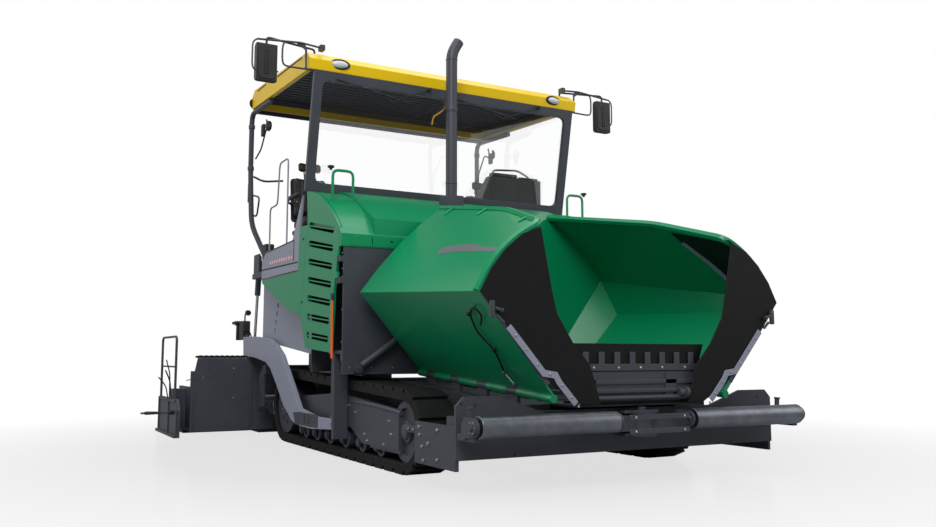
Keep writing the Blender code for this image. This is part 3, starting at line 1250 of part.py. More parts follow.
def make_exhaust():
    foot = hood_top_z(EXHAUST_Y) + HOOD_CENTRE_RISE + EXHAUST_RADIUS
    pipe = tube("pipe", [(EXHAUST_X, EXHAUST_Y, foot), (EXHAUST_X, EXHAUST_Y, EXHAUST_TOP),
                         (EXHAUST_X + EXHAUST_LEAN, EXHAUST_Y, EXHAUST_TOP + EXHAUST_LEAN * 1.7)],
                EXHAUST_RADIUS, bend=0.08, smooth=4)
    reach = EXHAUST_RADIUS * 1.6
    start, stop = EXHAUST_Y - reach, EXHAUST_Y + reach
    places = [start, *[y for y, _ in hood_line() if start < y < stop], stop]
    base = [(start, foot + PLATE * 2), *[(y, hood_top_z(y) + HOOD_CENTRE_RISE + SEAT) for y in places],
            (stop, foot + PLATE * 2)]
    foot_block = slab("foot", "X", EXHAUST_X - reach, EXHAUST_X + reach, base)
    return finish(fuse("exhaust_pipe", [foot_block, pipe]), GREY)


POST_LOW = 0.180
POST_HIGH = 0.920
POST_ARM = 0.030
LEVEL_X = 1.423
SLIDER_STROKE = 0.100
LEVEL_BARREL_RADIUS = 0.034
LEVEL_ROD_RADIUS = 0.016
LEVEL_TOP = 0.905
LEVEL_BARREL_LOW = 0.560
TOW_PIN_RADIUS = 0.022
CLEVIS_HALF = 0.050
HEAD_LOW = TOW_Z + CLEVIS_HALF + RUN
HEAD_TOP = TOW_Z + CLEVIS_HALF + 0.024
LEVEL_ENGAGED = 0.050


def make_levelling_post(side_name, side):
    """Guide post in front of the tow point, with the levelling cylinder's barrel."""
    low_x, high_x = side * (TRACK_OUTER_X + RUN), side * (BODY_HALF - SKIN - RUN)
    pieces = [box("post", (low_x, TOW_Y - CLEVIS_HALF - RUN - 0.05, POST_LOW), (high_x, TOW_Y - CLEVIS_HALF - RUN, POST_HIGH + BITE))]
    pieces.append(box("arm", (side * (HOUSING_HALF - PLATE * 3), HOUSING_FRONT + HOUSING_WALL + SEAT, POST_HIGH),
                      (high_x, TOW_Y + CLEVIS_HALF, POST_HIGH + POST_ARM)))
    pieces.append(box("arm_foot", (side * (HOUSING_HALF - PLATE * 3), HOUSING_FRONT + HOUSING_WALL + SEAT, POST_HIGH - POST_ARM * 2),
                      (high_x, HOUSING_FRONT + HOUSING_WALL + POST_ARM, POST_HIGH + BITE)))
    pieces.append(rod("barrel", (side * LEVEL_X, TOW_Y, POST_HIGH + BITE), (side * LEVEL_X, TOW_Y, LEVEL_BARREL_LOW), LEVEL_BARREL_RADIUS))
    post = fuse("levelling_post_" + side_name, pieces)
    cut(post, [rod("level_hole", (side * LEVEL_X, TOW_Y, POST_HIGH - OVERRUN), (side * LEVEL_X, TOW_Y, LEVEL_BARREL_LOW - OVERRUN),
                   bore(LEVEL_ROD_RADIUS, 16))])
    return finish(post, LIGHT_GREY)


def make_tow_slider(side_name, side, body):
    """Levelling cylinder's rod with the block and pin that carry a tow arm."""
    low_x, high_x = side * (ARM_INNER_X - RUN), side * (TRACK_OUTER_X + RUN * 2)
    front, rear = TOW_Y - CLEVIS_HALF, TOW_Y + CLEVIS_HALF
    outer_x = side * (ARM_INNER_X + ARM_THICK)
    block = box("block", (low_x, front, TOW_Z - CLEVIS_HALF), (high_x, rear, HEAD_TOP))
    pin = rod("pin", (low_x - side * BITE, TOW_Y, TOW_Z), (outer_x + side * RUN, TOW_Y, TOW_Z), TOW_PIN_RADIUS)
    head = box("head", (low_x - side * BITE, front, HEAD_LOW), (outer_x, rear, HEAD_TOP))
    stem = rod("stem", (side * LEVEL_X, TOW_Y, HEAD_TOP - BITE),
               (side * LEVEL_X, TOW_Y, LEVEL_BARREL_LOW + LEVEL_ENGAGED), LEVEL_ROD_RADIUS)
    return finish(fuse("tow_slider_" + side_name, [block, pin, head, stem]), STEEL, body)


ARM_EYE = 0.045


def make_tow_arm(side_name, side, body):
    """The swan-necked tow arm, from its pin beside the track to the screed."""
    low, high = side * ARM_INNER_X, side * (ARM_INNER_X + ARM_THICK)
    outline = [(TOW_Y, TOW_Z - ARM_EYE), (-0.043, 0.222), (0.30, 0.225), (0.566, 0.262), (0.86, 0.40), (1.110, 0.597),
               (1.36, 0.77), (1.549, 0.836), (2.0, 0.885), (2.503, 0.903), (2.537, 1.132), (2.0, 1.125), (1.469, 1.092),
               (1.20, 1.03), (0.955, 0.912), (0.626, 0.641), (0.334, 0.392), (-0.154, 0.34), *arc(TOW_Y, TOW_Z, ARM_EYE, 90, 270, 8)[:-1]]
    arm = slab("arm", "X", low, high, outline, circle(TOW_Y, TOW_Z, bore(TOW_PIN_RADIUS, 16)))
    lug = slab("lug", "X", low - side * LIFT_LUG, low + side * BITE, slot_outline(SLOT_WALL), slot_outline(0))
    return finish(fuse("tow_arm_" + side_name, [arm, lug]), LIGHT_GREY, body)


AUGER_Y = 1.950
AUGER_Z = 0.420
AUGER_RADIUS = 0.190
AUGER_SHAFT = 0.040
AUGER_PITCH = 0.300
AUGER_FLIGHT = 0.014
AUGER_INNER = 0.075
AUGER_OUTER = 1.335
AUGER_TURN_STEPS = 14
CASE_HALF = 0.055
AUGER_BEAM_LOW = 0.700
AUGER_BEAM_HIGH = 0.800
AUGER_BEAM_REAR = 1.900
CASE_FRONT = 1.860
CASE_REAR = 2.040
CASE_LOW = 0.330
END_BEARING = 0.025


def make_auger_drive():
    """Cross beam with the middle chain case and an outer bearing plate at each side."""
    outer = AUGER_OUTER + JOURNAL_LENGTH + END_BEARING
    pieces = [box("beam", (-outer, LOWER_REAR + SEAT, AUGER_BEAM_LOW), (outer, AUGER_BEAM_REAR, AUGER_BEAM_HIGH))]
    hub = bore(AUGER_SHAFT, 24)
    plate = [(CASE_FRONT, CASE_LOW), (CASE_REAR, CASE_LOW), (CASE_REAR, AUGER_BEAM_LOW - PLATE),
             (AUGER_BEAM_REAR - BITE, AUGER_BEAM_HIGH - BITE), (CASE_FRONT, AUGER_BEAM_HIGH - BITE)]
    pieces.append(slab("case", "X", -CASE_HALF, CASE_HALF, plate))
    for side_name, side in SIDES:
        pieces.append(slab("bearing_" + side_name, "X", side * (outer - END_BEARING), side * outer, plate,
                           circle(AUGER_Y, AUGER_Z, hub, 24)))
    return finish(fuse("auger_drive", pieces), GREY)


def make_auger(side_name, side, body):
    """A worm: a flight wound round a shaft, of opposite hand on each side."""
    shape = bmesh.new()
    turns = (AUGER_OUTER - AUGER_INNER - 2 * AUGER_FLIGHT) / AUGER_PITCH
    steps = int(turns * AUGER_TURN_STEPS)
    rows = []
    for step in range(steps + 1):
        angle = 2 * pi * turns * step / steps
        x = AUGER_INNER + AUGER_FLIGHT + (AUGER_OUTER - AUGER_INNER - 3 * AUGER_FLIGHT) * step / steps
        row = []
        for radius, shift in ((AUGER_SHAFT / 2, 0), (AUGER_RADIUS, 0), (AUGER_RADIUS, AUGER_FLIGHT),
                              (AUGER_SHAFT / 2, AUGER_FLIGHT)):
            row.append(shape.verts.new((side * (x + shift), AUGER_Y + radius * cos(angle),
                                        AUGER_Z + radius * sin(angle))))
        rows.append(row)
    for before, after in zip(rows, rows[1:]):
        for one in range(len(before)):
            two = (one + 1) % len(before)
            shape.faces.new((before[one], before[two], after[two], after[one]))
    shape.faces.new(rows[0])
    shape.faces.new(rows[-1])
    flight = from_bmesh("flight", shape)
    shaft = rod("shaft", (side * (CASE_HALF + SEAT * 10), AUGER_Y, AUGER_Z),
                (side * (AUGER_OUTER + JOURNAL_LENGTH + END_BEARING), AUGER_Y, AUGER_Z), AUGER_SHAFT, 24)
    return finish(fuse("auger_" + side_name, [shaft, flight]), STEEL, body)


SCREED_FRONT = 2.345
SCREED_BACK = 2.700
SCREED_TOP = 0.620
SCREED_NOSE = 0.040
WALK_FRONT = 2.985
WALK_Z = 0.470
WALK_THICK = 0.028
TUBE_RADIUS = 0.044
TUBE_Z = 0.378
TUBE_Y = {"right": 2.785, "left": 2.905}
TUBE_PLATE_X = (0.700, 1.200)
TUBE_PLATE = 0.028
TUBE_PLATE_LOW = 0.300
TUBE_PLATE_REAR = 2.975
MOUNT_INNER = 1.180
MOUNT_FRONT = 2.400
MOUNT_REAR = 2.520
MOUNT_TOP = 1.100


def make_screed_frame(body):
    """The main screed: heated box, arm mounts, guide plates and rear walkway."""
    profile = [(SCREED_FRONT + SCREED_NOSE, 0), (SCREED_BACK, 0), (SCREED_BACK, SCREED_TOP - SCREED_NOSE),
               (SCREED_BACK - SCREED_NOSE, SCREED_TOP), (SCREED_FRONT, SCREED_TOP), (SCREED_FRONT, SCREED_NOSE)]
    pieces = [slab("main", "X", -SCREED_HALF, SCREED_HALF, profile),
              box("walk", (-SCREED_HALF, WALK_FRONT, WALK_Z), (SCREED_HALF, SCREED_REAR, WALK_Z + WALK_THICK))]
    for side_name, side in SIDES:
        pieces.append(box("mount_" + side_name, (side * MOUNT_INNER, MOUNT_FRONT, SCREED_TOP - BITE),
                          (side * (ARM_INNER_X - SEAT), MOUNT_REAR, MOUNT_TOP)))
        for number, x in enumerate(TUBE_PLATE_X):
            edge = [(SCREED_BACK - BITE, TUBE_PLATE_LOW), (TUBE_PLATE_REAR, TUBE_PLATE_LOW),
                    (TUBE_PLATE_REAR, WALK_Z), (WALK_FRONT + BITE * 2, WALK_Z + BITE),
                    (WALK_FRONT + BITE * 2, WALK_Z + WALK_THICK - BITE), (SCREED_BACK - BITE, WALK_Z + WALK_THICK - BITE)]
            holes = [circle(y, TUBE_Z, bore(TUBE_RADIUS, 24), 24) for y in TUBE_Y.values()]
            pieces.append(slab(f"guide_{side_name}_{number}", "X", side * x, side * (x + TUBE_PLATE), edge, *holes))
    return finish(fuse("screed_frame", pieces), GREY, body)


WALL_THICK = 0.022
WALL_INNER = 1.110
WALL_LOW = 0.045
STEP_X = 2.045
END_WALL = 0.028
BOX_INNER = 0.800
BOX_FRONT = 2.725
BOX_HIGH = 0.280
BOX_REAR = 2.972
END_HIGH = 0.550
EXT_TUBE_INNER = 0.160
GUIDE_Y = 2.620
GUIDE_HALF = 0.060
GATE_THICK = 0.030


def make_extension(side_name, side, body):
    """A telescoping screed extension with its front wall, box and guide tube."""
    wall = [(side * x, z) for x, z in ((WALL_INNER, WALL_LOW), (EXTENSION_OUTER, WALL_LOW),
                                       (EXTENSION_OUTER, WALL_STEP_HIGH), (STEP_X, WALL_STEP_HIGH),
                                       (STEP_X - 0.03, WALL_HIGH), (WALL_INNER, WALL_HIGH))]
    pieces = [slab("wall", "Y", SCREED_WALL_Y, SCREED_WALL_Y + WALL_THICK, wall),
              box("end", (side * (EXTENSION_OUTER - END_WALL), SCREED_WALL_Y + WALL_THICK / 2, WALL_LOW + BITE),
                  (side * (EXTENSION_OUTER - SEAT), BOX_REAR, END_HIGH)),
              box("box", (side * BOX_INNER, BOX_FRONT, 0), (side * (EXTENSION_OUTER - END_WALL / 2), BOX_REAR - BITE, BOX_HIGH)),
              rod("tube", (side * EXT_TUBE_INNER, TUBE_Y[side_name], TUBE_Z),
                  (side * (EXTENSION_OUTER - END_WALL / 2), TUBE_Y[side_name], TUBE_Z), TUBE_RADIUS, 24),
              box("guide", (side * (EXTENSION_OUTER - END_WALL / 2), GUIDE_Y - GUIDE_HALF, WALL_LOW + PLATE),
                  (side * (GATE_X - GATE_THICK / 2 - SEAT), GUIDE_Y + GUIDE_HALF, END_HIGH - PLATE))]
    return finish(fuse("screed_extension_" + side_name, pieces), GREY, body)


GATE_FRONT = 2.085
GATE_REAR = 3.275
GATE_HIGH = 0.420
SKID_WIDTH = 0.065
SKID_HIGH = 0.030
GATE_HANDLE_RADIUS = 0.018
GATE_HANDLE_FRONT = 2.350
GATE_HANDLE_REAR = 3.240
GATE_HANDLE_HIGH = 1.125
CRANK_Y = 2.300
CRANK_Z = 0.270
CRANK_TIP = 2.620
CRANK_RADIUS = 0.011


def make_end_gate(side_name, side, body):
    """The end plate that runs on the ground beside the screed, with its grab bar and crank."""
    inner, outer = side * (GATE_X - GATE_THICK / 2), side * (GATE_X + GATE_THICK / 2)
    edge = [(GATE_FRONT, SKID_HIGH - BITE), (GATE_REAR, SKID_HIGH - BITE), (GATE_REAR, GATE_HIGH),
            (GATE_FRONT + 0.10, GATE_HIGH), (GATE_FRONT, GATE_HIGH - 0.12)]
    x = side * GATE_X
    pieces = [slab("plate", "X", inner, outer, edge),
              box("skid", (inner, GATE_FRONT, 0), (inner + side * SKID_WIDTH, GATE_REAR, SKID_HIGH)),
              tube("grab", [(x, GATE_HANDLE_FRONT, GATE_HIGH - BITE), (x, GATE_HANDLE_FRONT, GATE_HANDLE_HIGH),
                            (x, GATE_HANDLE_REAR, GATE_HANDLE_HIGH), (x, GATE_HANDLE_REAR, GATE_HIGH - BITE)],
                   GATE_HANDLE_RADIUS * 0.8, bend=0.06),
              rod("crank", (outer - side * BITE, CRANK_Y, CRANK_Z), (side * CRANK_TIP, CRANK_Y, CRANK_Z), CRANK_RADIUS, 10)]
    return finish(fuse("end_gate_" + side_name, pieces), GREY, body)


LIFT_FOOT_Y = 2.300
LIFT_FOOT_Z = 1.060
LIFT_ROD_RADIUS = 0.017
LIFT_BARREL_END = 0.440
LIFT_ENGAGED = 0.030
SLOT_SLACK = 0.016
SLOT_WALL = 0.022
LIFT_LUG = 0.012


def slot_outline(grow):
    """The slot in which the lift rod's pin rides, long enough for the tow point's stroke."""
    radius = LIFT_PIN_RADIUS + SLOT_SLACK + grow
    return (arc(LIFT_FOOT_Y, LIFT_FOOT_Z, radius, 0, 180, 6)
            + arc(LIFT_FOOT_Y, LIFT_FOOT_Z - SLIDER_STROKE, radius, 180, 360, 6))


SEAT_X = 1.100
SEAT_Y = 0.950
SEAT_HALF = 0.230
SEAT_COLUMN = 0.060
SEAT_PAN = 2.250
SEAT_CUSHION = 0.130
SEAT_BACK_TOP = 3.080
SEAT_BACK = 0.110


def make_seat(side_name, side, body):
    x = side * SEAT_X
    top = SEAT_PAN + SEAT_CUSHION
    cushion = box("cushion", (x - SEAT_HALF, SEAT_Y - SEAT_HALF, SEAT_PAN), (x + SEAT_HALF, SEAT_Y + SEAT_HALF, top))
    column = rod("column", (x, SEAT_Y, PLATFORM_TOP + SEAT), (x, SEAT_Y, SEAT_PAN + BITE), SEAT_COLUMN)
    rear = SEAT_Y + SEAT_HALF
    back = slab("back", "X", x - SEAT_HALF * 0.95, x + SEAT_HALF * 0.95,
                [(rear - SEAT_BACK, top - BITE * 4), (rear - BITE, top - BITE * 4),
                 (rear + 0.09, SEAT_BACK_TOP - 0.05), (rear + 0.06, SEAT_BACK_TOP), (rear, SEAT_BACK_TOP), (rear - 0.03, SEAT_BACK_TOP - 0.1)])
    return finish(fuse("seat_" + side_name, [cushion, column, back]), VINYL, body)


CONSOLE_X = 0.950
CONSOLE_HALF = 0.330
CONSOLE_FRONT = 0.150
CONSOLE_REAR = 0.520
CONSOLE_LOW = 2.560
CONSOLE_HIGH = 2.880
CONSOLE_FOOT = 0.140


def make_console(body):
    """The operator's desk, which slides across the machine on the top of the dash."""
    dash_top = SCREEN_BOTTOM_Z - (SCREEN_BOTTOM_Y - HOOD_REAR) * tan(screen_lean()) - SEAT
    desk = slab("desk", "X", CONSOLE_X - CONSOLE_HALF, CONSOLE_X + CONSOLE_HALF,
                [(CONSOLE_FRONT, CONSOLE_LOW), (CONSOLE_REAR, CONSOLE_LOW), (CONSOLE_REAR, CONSOLE_LOW + 0.09),
                 (CONSOLE_FRONT + 0.10, CONSOLE_HIGH), (CONSOLE_FRONT, CONSOLE_HIGH)])
    foot = box("foot", (CONSOLE_X - CONSOLE_FOOT, CONSOLE_FRONT - PLATE, dash_top),
               (CONSOLE_X + CONSOLE_FOOT, CONSOLE_FRONT + PLATE * 4, CONSOLE_LOW + BITE))
    return finish(fuse("control_console", [desk, foot]), GREY, body)


def build():
    for side_name, side in SIDES:
        make_track(side_name, side)
        make_track_frame(side_name, side)
    make_chassis()
    make_crossbeam()
    push = joint_point("push_bar_pivot", (0, JAW_PIN_Y, (JAW_LOW + JAW_HIGH) / 2))
    make_push_bar(push)
    for side_name, side in SIDES:
        axle = joint_point(f"roller_axis_{side_name}", (side * ROLLER_INNER, ROLLER_Y, ROLLER_Z), push)
        make_push_roller(side_name, side, axle)
    make_conveyor()
    make_apron()
    make_clamp()
    make_housing()
    make_engine()
    make_hood()
    make_rear_housing()
    make_platform_floor()
    make_screen()
    make_roof()
    make_roof_lining()
    make_rear_frame()
    make_exhaust()
    tow = joint_point("tow_points", (0, TOW_Y, TOW_Z))
    for side_name, side in SIDES:
        wing_hinge = joint_point("wing_hinge_" + side_name, (side * WING_HINGE_X, WING_FRONT, WING_HINGE_FRONT_Z))
        make_wing(side_name, side, wing_hinge)
        make_wing_rubber(side_name, side, wing_hinge)
        barrel = joint_point("wing_ram_foot_" + side_name, (side * BASE_X, RAM_Y, BASE_Z))
        make_ram("wing_ram", side_name, (side * BASE_X, RAM_Y, BASE_Z), (side * LUG_X, RAM_Y, LUG_Z), BARREL_END,
                 barrel, barrel, BARREL_RADIUS, ROD_RADIUS, EYE_OUTER, LUG_PIN_RADIUS,
                 LUG_PIN_RADIUS + EYE_SLACK, EYE_WIDTH, "Y", RAM_ENGAGED)
        door = joint_point("door_hinge_" + side_name, (side * (BODY_HALF + BITE), DOOR_AXIS_Y, DOOR_MID))
        make_side_door(side_name, side, door)
        make_side_panel(side_name, side)
        make_platform_side(side_name, side)
        make_mirror(side_name, side)
        make_levelling_post(side_name, side)
        make_tow_slider(side_name, side, tow)
        screed = joint_point("screed_hinge_" + side_name, (0, TOW_Y, TOW_Z), tow)
        make_tow_arm(side_name, side, screed)
        worm = joint_point("auger_axis_" + side_name, (side * AUGER_INNER, AUGER_Y, AUGER_Z))
        make_auger(side_name, side, worm)
        if side_name == "right":
            make_screed_frame(screed)
        extension = joint_point("extension_slide_" + side_name, (side * EXTENSION_OUTER, TUBE_Y[side_name], TUBE_Z), screed)
        make_extension(side_name, side, extension)
        gate = joint_point("gate_slide_" + side_name, (side * GATE_X, GUIDE_Y, GATE_HIGH), extension)
        make_end_gate(side_name, side, gate)
        seat = joint_point("seat_pivot_" + side_name, (side * SEAT_X, SEAT_Y, PLATFORM_TOP))
        make_seat(side_name, side, seat)
        lift = joint_point("lift_head_" + side_name, (side * LIFT_X, LIFT_TOP_Y, LIFT_TOP_Z))
        make_ram("lift_ram", side_name, (side * LIFT_X, LIFT_TOP_Y, LIFT_TOP_Z), (side * LIFT_X, LIFT_FOOT_Y, LIFT_FOOT_Z),
                 LIFT_BARREL_END, lift, lift, LIFT_BARREL_RADIUS, LIFT_ROD_RADIUS, LIFT_EYE_OUTER, LIFT_PIN_RADIUS,
                 LIFT_PIN_RADIUS, LIFT_EYE_WIDTH, "X", LIFT_ENGAGED, side * (ARM_INNER_X - SEAT))
    make_auger_drive()
    slide = joint_point("console_slide", (CONSOLE_X, CONSOLE_FRONT, CONSOLE_LOW))
    make_console(slide)


build()
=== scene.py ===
import json
from math import cos, hypot, pi, radians, sin

import bmesh
import bpy
import numpy as np
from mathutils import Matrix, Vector


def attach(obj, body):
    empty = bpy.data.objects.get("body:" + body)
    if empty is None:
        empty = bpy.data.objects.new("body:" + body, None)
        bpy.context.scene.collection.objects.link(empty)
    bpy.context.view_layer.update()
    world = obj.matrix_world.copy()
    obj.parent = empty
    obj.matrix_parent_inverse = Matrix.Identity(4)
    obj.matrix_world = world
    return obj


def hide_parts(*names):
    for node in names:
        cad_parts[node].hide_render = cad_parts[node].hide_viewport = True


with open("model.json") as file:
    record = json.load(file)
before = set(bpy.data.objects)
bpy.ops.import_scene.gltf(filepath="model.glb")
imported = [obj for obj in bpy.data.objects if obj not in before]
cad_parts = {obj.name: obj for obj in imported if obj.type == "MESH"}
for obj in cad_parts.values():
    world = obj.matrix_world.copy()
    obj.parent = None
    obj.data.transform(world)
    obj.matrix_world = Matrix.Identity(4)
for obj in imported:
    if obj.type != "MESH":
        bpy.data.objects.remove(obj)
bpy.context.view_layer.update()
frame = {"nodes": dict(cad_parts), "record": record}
bpy.context.scene.view_settings.view_transform = "Standard"
print("frame loaded:", len(frame["nodes"]), "nodes")

mm = 0.001
sides = (("right", -1), ("left", 1))  # -X is the machine's right

# Camera

camera = {"place": (-4.148, -8.015, 0.8985), "azimuth": -28.79, "elevation": -6.083, "lens": 33.51}


def makeCamera():
    a, e = radians(camera["azimuth"]), radians(camera["elevation"])
    back = Vector((sin(a) * cos(e), -cos(a) * cos(e), sin(e)))
    cam = bpy.data.objects.new("camera", bpy.data.cameras.new("camera"))
    cam.data.lens = camera["lens"]
    cam.data.sensor_width = 36
    cam.data.clip_end = 200
    cam.location = camera["place"]
    cam.rotation_euler = (-back).to_track_quat("-Z", "Y").to_euler()
    bpy.context.scene.collection.objects.link(cam)
    bpy.context.scene.camera = cam


makeCamera()

# Small helpers for materials


def toLinear(hexColour):
    # sRGB hex to linear red, green, blue and alpha
    parts = [int(hexColour[i:i + 2], 16) / 255 for i in (1, 3, 5)]
    return (*[c / 12.92 if c <= 0.04045 else ((c + 0.055) / 1.055) ** 2.4 for c in parts], 1)


def addNode(tree, kind, settings=None, links=None):
    # one shader node with its settings (attributes or inputs) and what feeds its inputs
    node = tree.nodes.new(kind)
    for key, value in (settings or {}).items():
        if isinstance(key, str) and hasattr(node, key):
            setattr(node, key, value)
        else:
            node.inputs[key].default_value = value
    for key, source in (links or {}).items():
        tree.links.new(source, node.inputs[key])
    return node


def newMaterial(name):
    material = bpy.data.materials.new(name)
    material.use_nodes = True
    tree = material.node_tree
    tree.nodes.clear()
    place = addNode(tree, "ShaderNodeTexCoord").outputs["Object"]
    return material, tree, place


def endMaterial(tree, shader):
    addNode(tree, "ShaderNodeOutputMaterial", links={"Surface": shader.outputs[0]})


def setRamp(node, stops):
    ramp = node.color_ramp
    while len(ramp.elements) < len(stops):
        ramp.elements.new(0.5)
    for element, (at, colour) in zip(ramp.elements, stops):
        element.position, element.color = at, colour
    return node


# Materials, each named for the real one

enamel = {"orangePeelMm": 3.0, "dustPatchMm": 420}


def makeEnamel(name, colour, dust, roughness, dustAmount):
    # Sprayed and baked enamel on steel: a soft gloss, a faint orange peel, dust in soft patches
    material, tree, place = newMaterial(name)
    patch = addNode(tree, "ShaderNodeTexNoise",
                    {"Scale": 1 / (enamel["dustPatchMm"] * mm), "Detail": 6.0, "Roughness": 0.6},
                    {"Vector": place})
    spread = setRamp(addNode(tree, "ShaderNodeValToRGB", links={0: patch.outputs[0]}),
                     [(0.42, (0, 0, 0, 1)), (0.78, (dustAmount,) * 3 + (1,))])
    base = addNode(tree, "ShaderNodeMix", {"data_type": "RGBA", 6: toLinear(colour), 7: toLinear(dust)},
                   {0: spread.outputs[0]})
    rough = addNode(tree, "ShaderNodeMath", {"operation": "MULTIPLY_ADD", 1: 0.35, 2: roughness},
                    {0: spread.outputs[0]})
    peel = addNode(tree, "ShaderNodeTexNoise", {"Scale": 1 / (enamel["orangePeelMm"] * mm), "Detail": 1.0},
                   {"Vector": place})
    bump = addNode(tree, "ShaderNodeBump", {"Strength": 0.03, "Distance": 0.4 * mm},
                   {"Height": peel.outputs[0]})
    shader = addNode(tree, "ShaderNodeBsdfPrincipled",
                     {"Coat Weight": 0.10, "Coat Roughness": 0.15, "IOR": 1.45},
                     {"Base Color": base.outputs[2], "Roughness": rough.outputs[0],
                      "Normal": bump.outputs[0]})
    endMaterial(tree, shader)
    return material


powderCoat = {"grainMm": 2.2, "patchMm": 300}


def makePowderCoat(name, colour, dust, roughness, dustAmount, grain=0.25):
    # Thick textured chassis paint: fine pebble grain, satin, dusty and slightly uneven in tone
    material, tree, place = newMaterial(name)
    patch = addNode(tree, "ShaderNodeTexNoise",
                    {"Scale": 1 / (powderCoat["patchMm"] * mm), "Detail": 8.0, "Roughness": 0.65},
                    {"Vector": place})
    spread = setRamp(addNode(tree, "ShaderNodeValToRGB", links={0: patch.outputs[0]}),
                     [(0.35, (0, 0, 0, 1)), (0.75, (dustAmount,) * 3 + (1,))])
    base = addNode(tree, "ShaderNodeMix", {"data_type": "RGBA", 6: toLinear(colour), 7: toLinear(dust)},
                   {0: spread.outputs[0]})
    rough = addNode(tree, "ShaderNodeMath", {"operation": "MULTIPLY_ADD", 1: 0.3, 2: roughness},
                    {0: spread.outputs[0]})
    pebble = addNode(tree, "ShaderNodeTexNoise", {"Scale": 1 / (powderCoat["grainMm"] * mm), "Detail": 2.0},
                     {"Vector": place})
    bump = addNode(tree, "ShaderNodeBump", {"Strength": grain, "Distance": 0.5 * mm},
                   {"Height": pebble.outputs[0]})
    shader = addNode(tree, "ShaderNodeBsdfPrincipled", {"IOR": 1.5},
                     {"Base Color": base.outputs[2], "Roughness": rough.outputs[0],
                      "Normal": bump.outputs[0]})
    endMaterial(tree, shader)
    return material


rubber = {"bloomMm": 110, "skinMm": 4}


def makeRubber(name, colour, dust, dustAmount, roughness):
    # Vulcanised rubber with carbon black: matt, grey bloom and dust where it flexes
    material, tree, place = newMaterial(name)
    bloom = addNode(tree, "ShaderNodeTexNoise", {"Scale": 1 / (rubber["bloomMm"] * mm), "Detail": 9.0,
                                                 "Roughness": 0.7}, {"Vector": place})
    spread = setRamp(addNode(tree, "ShaderNodeValToRGB", links={0: bloom.outputs[0]}),
                     [(0.40, (0, 0, 0, 1)), (0.72, (dustAmount,) * 3 + (1,))])
    base = addNode(tree, "ShaderNodeMix", {"data_type": "RGBA", 6: toLinear(colour), 7: toLinear(dust)},
                   {0: spread.outputs[0]})
    skin = addNode(tree, "ShaderNodeTexNoise", {"Scale": 1 / (rubber["skinMm"] * mm), "Detail": 3.0},
                   {"Vector": place})
    bump = addNode(tree, "ShaderNodeBump", {"Strength": 0.2, "Distance": 0.6 * mm},
                   {"Height": skin.outputs[0]})
    shader = addNode(tree, "ShaderNodeBsdfPrincipled", {"Roughness": roughness, "IOR": 1.35},
                     {"Base Color": base.outputs[2], "Normal": bump.outputs[0]})
    endMaterial(tree, shader)
    return material


def makeSteel(name, colour, roughness, streakMm, streakAxis, darkening=0.3):
    # Bare steel: rolled or turned, with fine streaks along the way it was worked or rubbed
    material, tree, place = newMaterial(name)
    stretch = [1 / (streakMm * mm)] * 3
    stretch[streakAxis] /= 40
    turned = addNode(tree, "ShaderNodeMapping", {"Scale": tuple(stretch)}, {"Vector": place})
    streak = addNode(tree, "ShaderNodeTexNoise", {"Scale": 1.0, "Detail": 3.0}, {"Vector": turned.outputs[0]})
    stain = addNode(tree, "ShaderNodeTexNoise", {"Scale": 7.0, "Detail": 6.0, "Roughness": 0.7},
                    {"Vector": place})
    light = toLinear(colour)
    shade = tuple(c * (1 - darkening) for c in light[:3]) + (1,)
    tone = setRamp(addNode(tree, "ShaderNodeValToRGB", links={0: stain.outputs[0]}),
                   [(0.35, shade), (0.65, light)])
    rough = addNode(tree, "ShaderNodeMath", {"operation": "MULTIPLY_ADD", 1: 0.18, 2: roughness},
                    {0: streak.outputs[0]})
    bump = addNode(tree, "ShaderNodeBump", {"Strength": 0.12, "Distance": 0.2 * mm},
                   {"Height": streak.outputs[0]})
    shader = addNode(tree, "ShaderNodeBsdfPrincipled", {"Metallic": 1.0},
                     {"Base Color": tone.outputs[0], "Roughness": rough.outputs[0],
                      "Normal": bump.outputs[0]})
    endMaterial(tree, shader)
    return material


def makeGlass(name):
    # Laminated safety glass: almost clear, a faint grey-green tint, a clean gloss
    material, tree, place = newMaterial(name)
    shader = addNode(tree, "ShaderNodeBsdfPrincipled",
                     {"Base Color": toLinear("#E9F1F0"), "Roughness": 0.02, "IOR": 1.45,
                      "Transmission Weight": 1.0,
                      "Alpha": 0.10})
    smear = addNode(tree, "ShaderNodeTexNoise", {"Scale": 3.0, "Detail": 4.0}, {"Vector": place})
    bump = addNode(tree, "ShaderNodeBump", {"Strength": 0.01, "Distance": 0.2 * mm},
                   {"Height": smear.outputs[0]})
    tree.links.new(bump.outputs[0], shader.inputs["Normal"])
    endMaterial(tree, shader)
    return material


def makePlastic(name, colour, roughness, grainMm, strength=0.2, worn=1.5):
    # Injection-moulded ABS with a spark-eroded grain
    material, tree, place = newMaterial(name)
    grain = addNode(tree, "ShaderNodeTexNoise", {"Scale": 1 / (grainMm * mm), "Detail": 2.0},
                    {"Vector": place})
    tone = addNode(tree, "ShaderNodeTexNoise", {"Scale": 6.0, "Detail": 5.0}, {"Vector": place})
    dark = toLinear(colour)
    pale = tuple(min(1, c * worn + 0.01) for c in dark[:3]) + (1,)
    spread = setRamp(addNode(tree, "ShaderNodeValToRGB", links={0: tone.outputs[0]}),
                     [(0.4, dark), (0.8, pale)])
    bump = addNode(tree, "ShaderNodeBump", {"Strength": strength, "Distance": 0.3 * mm},
                   {"Height": grain.outputs[0]})
    shader = addNode(tree, "ShaderNodeBsdfPrincipled", {"Roughness": roughness, "IOR": 1.53},
                     {"Base Color": spread.outputs[0], "Normal": bump.outputs[0]})
    endMaterial(tree, shader)
    return material


hazard = {"stripe": 0.085}


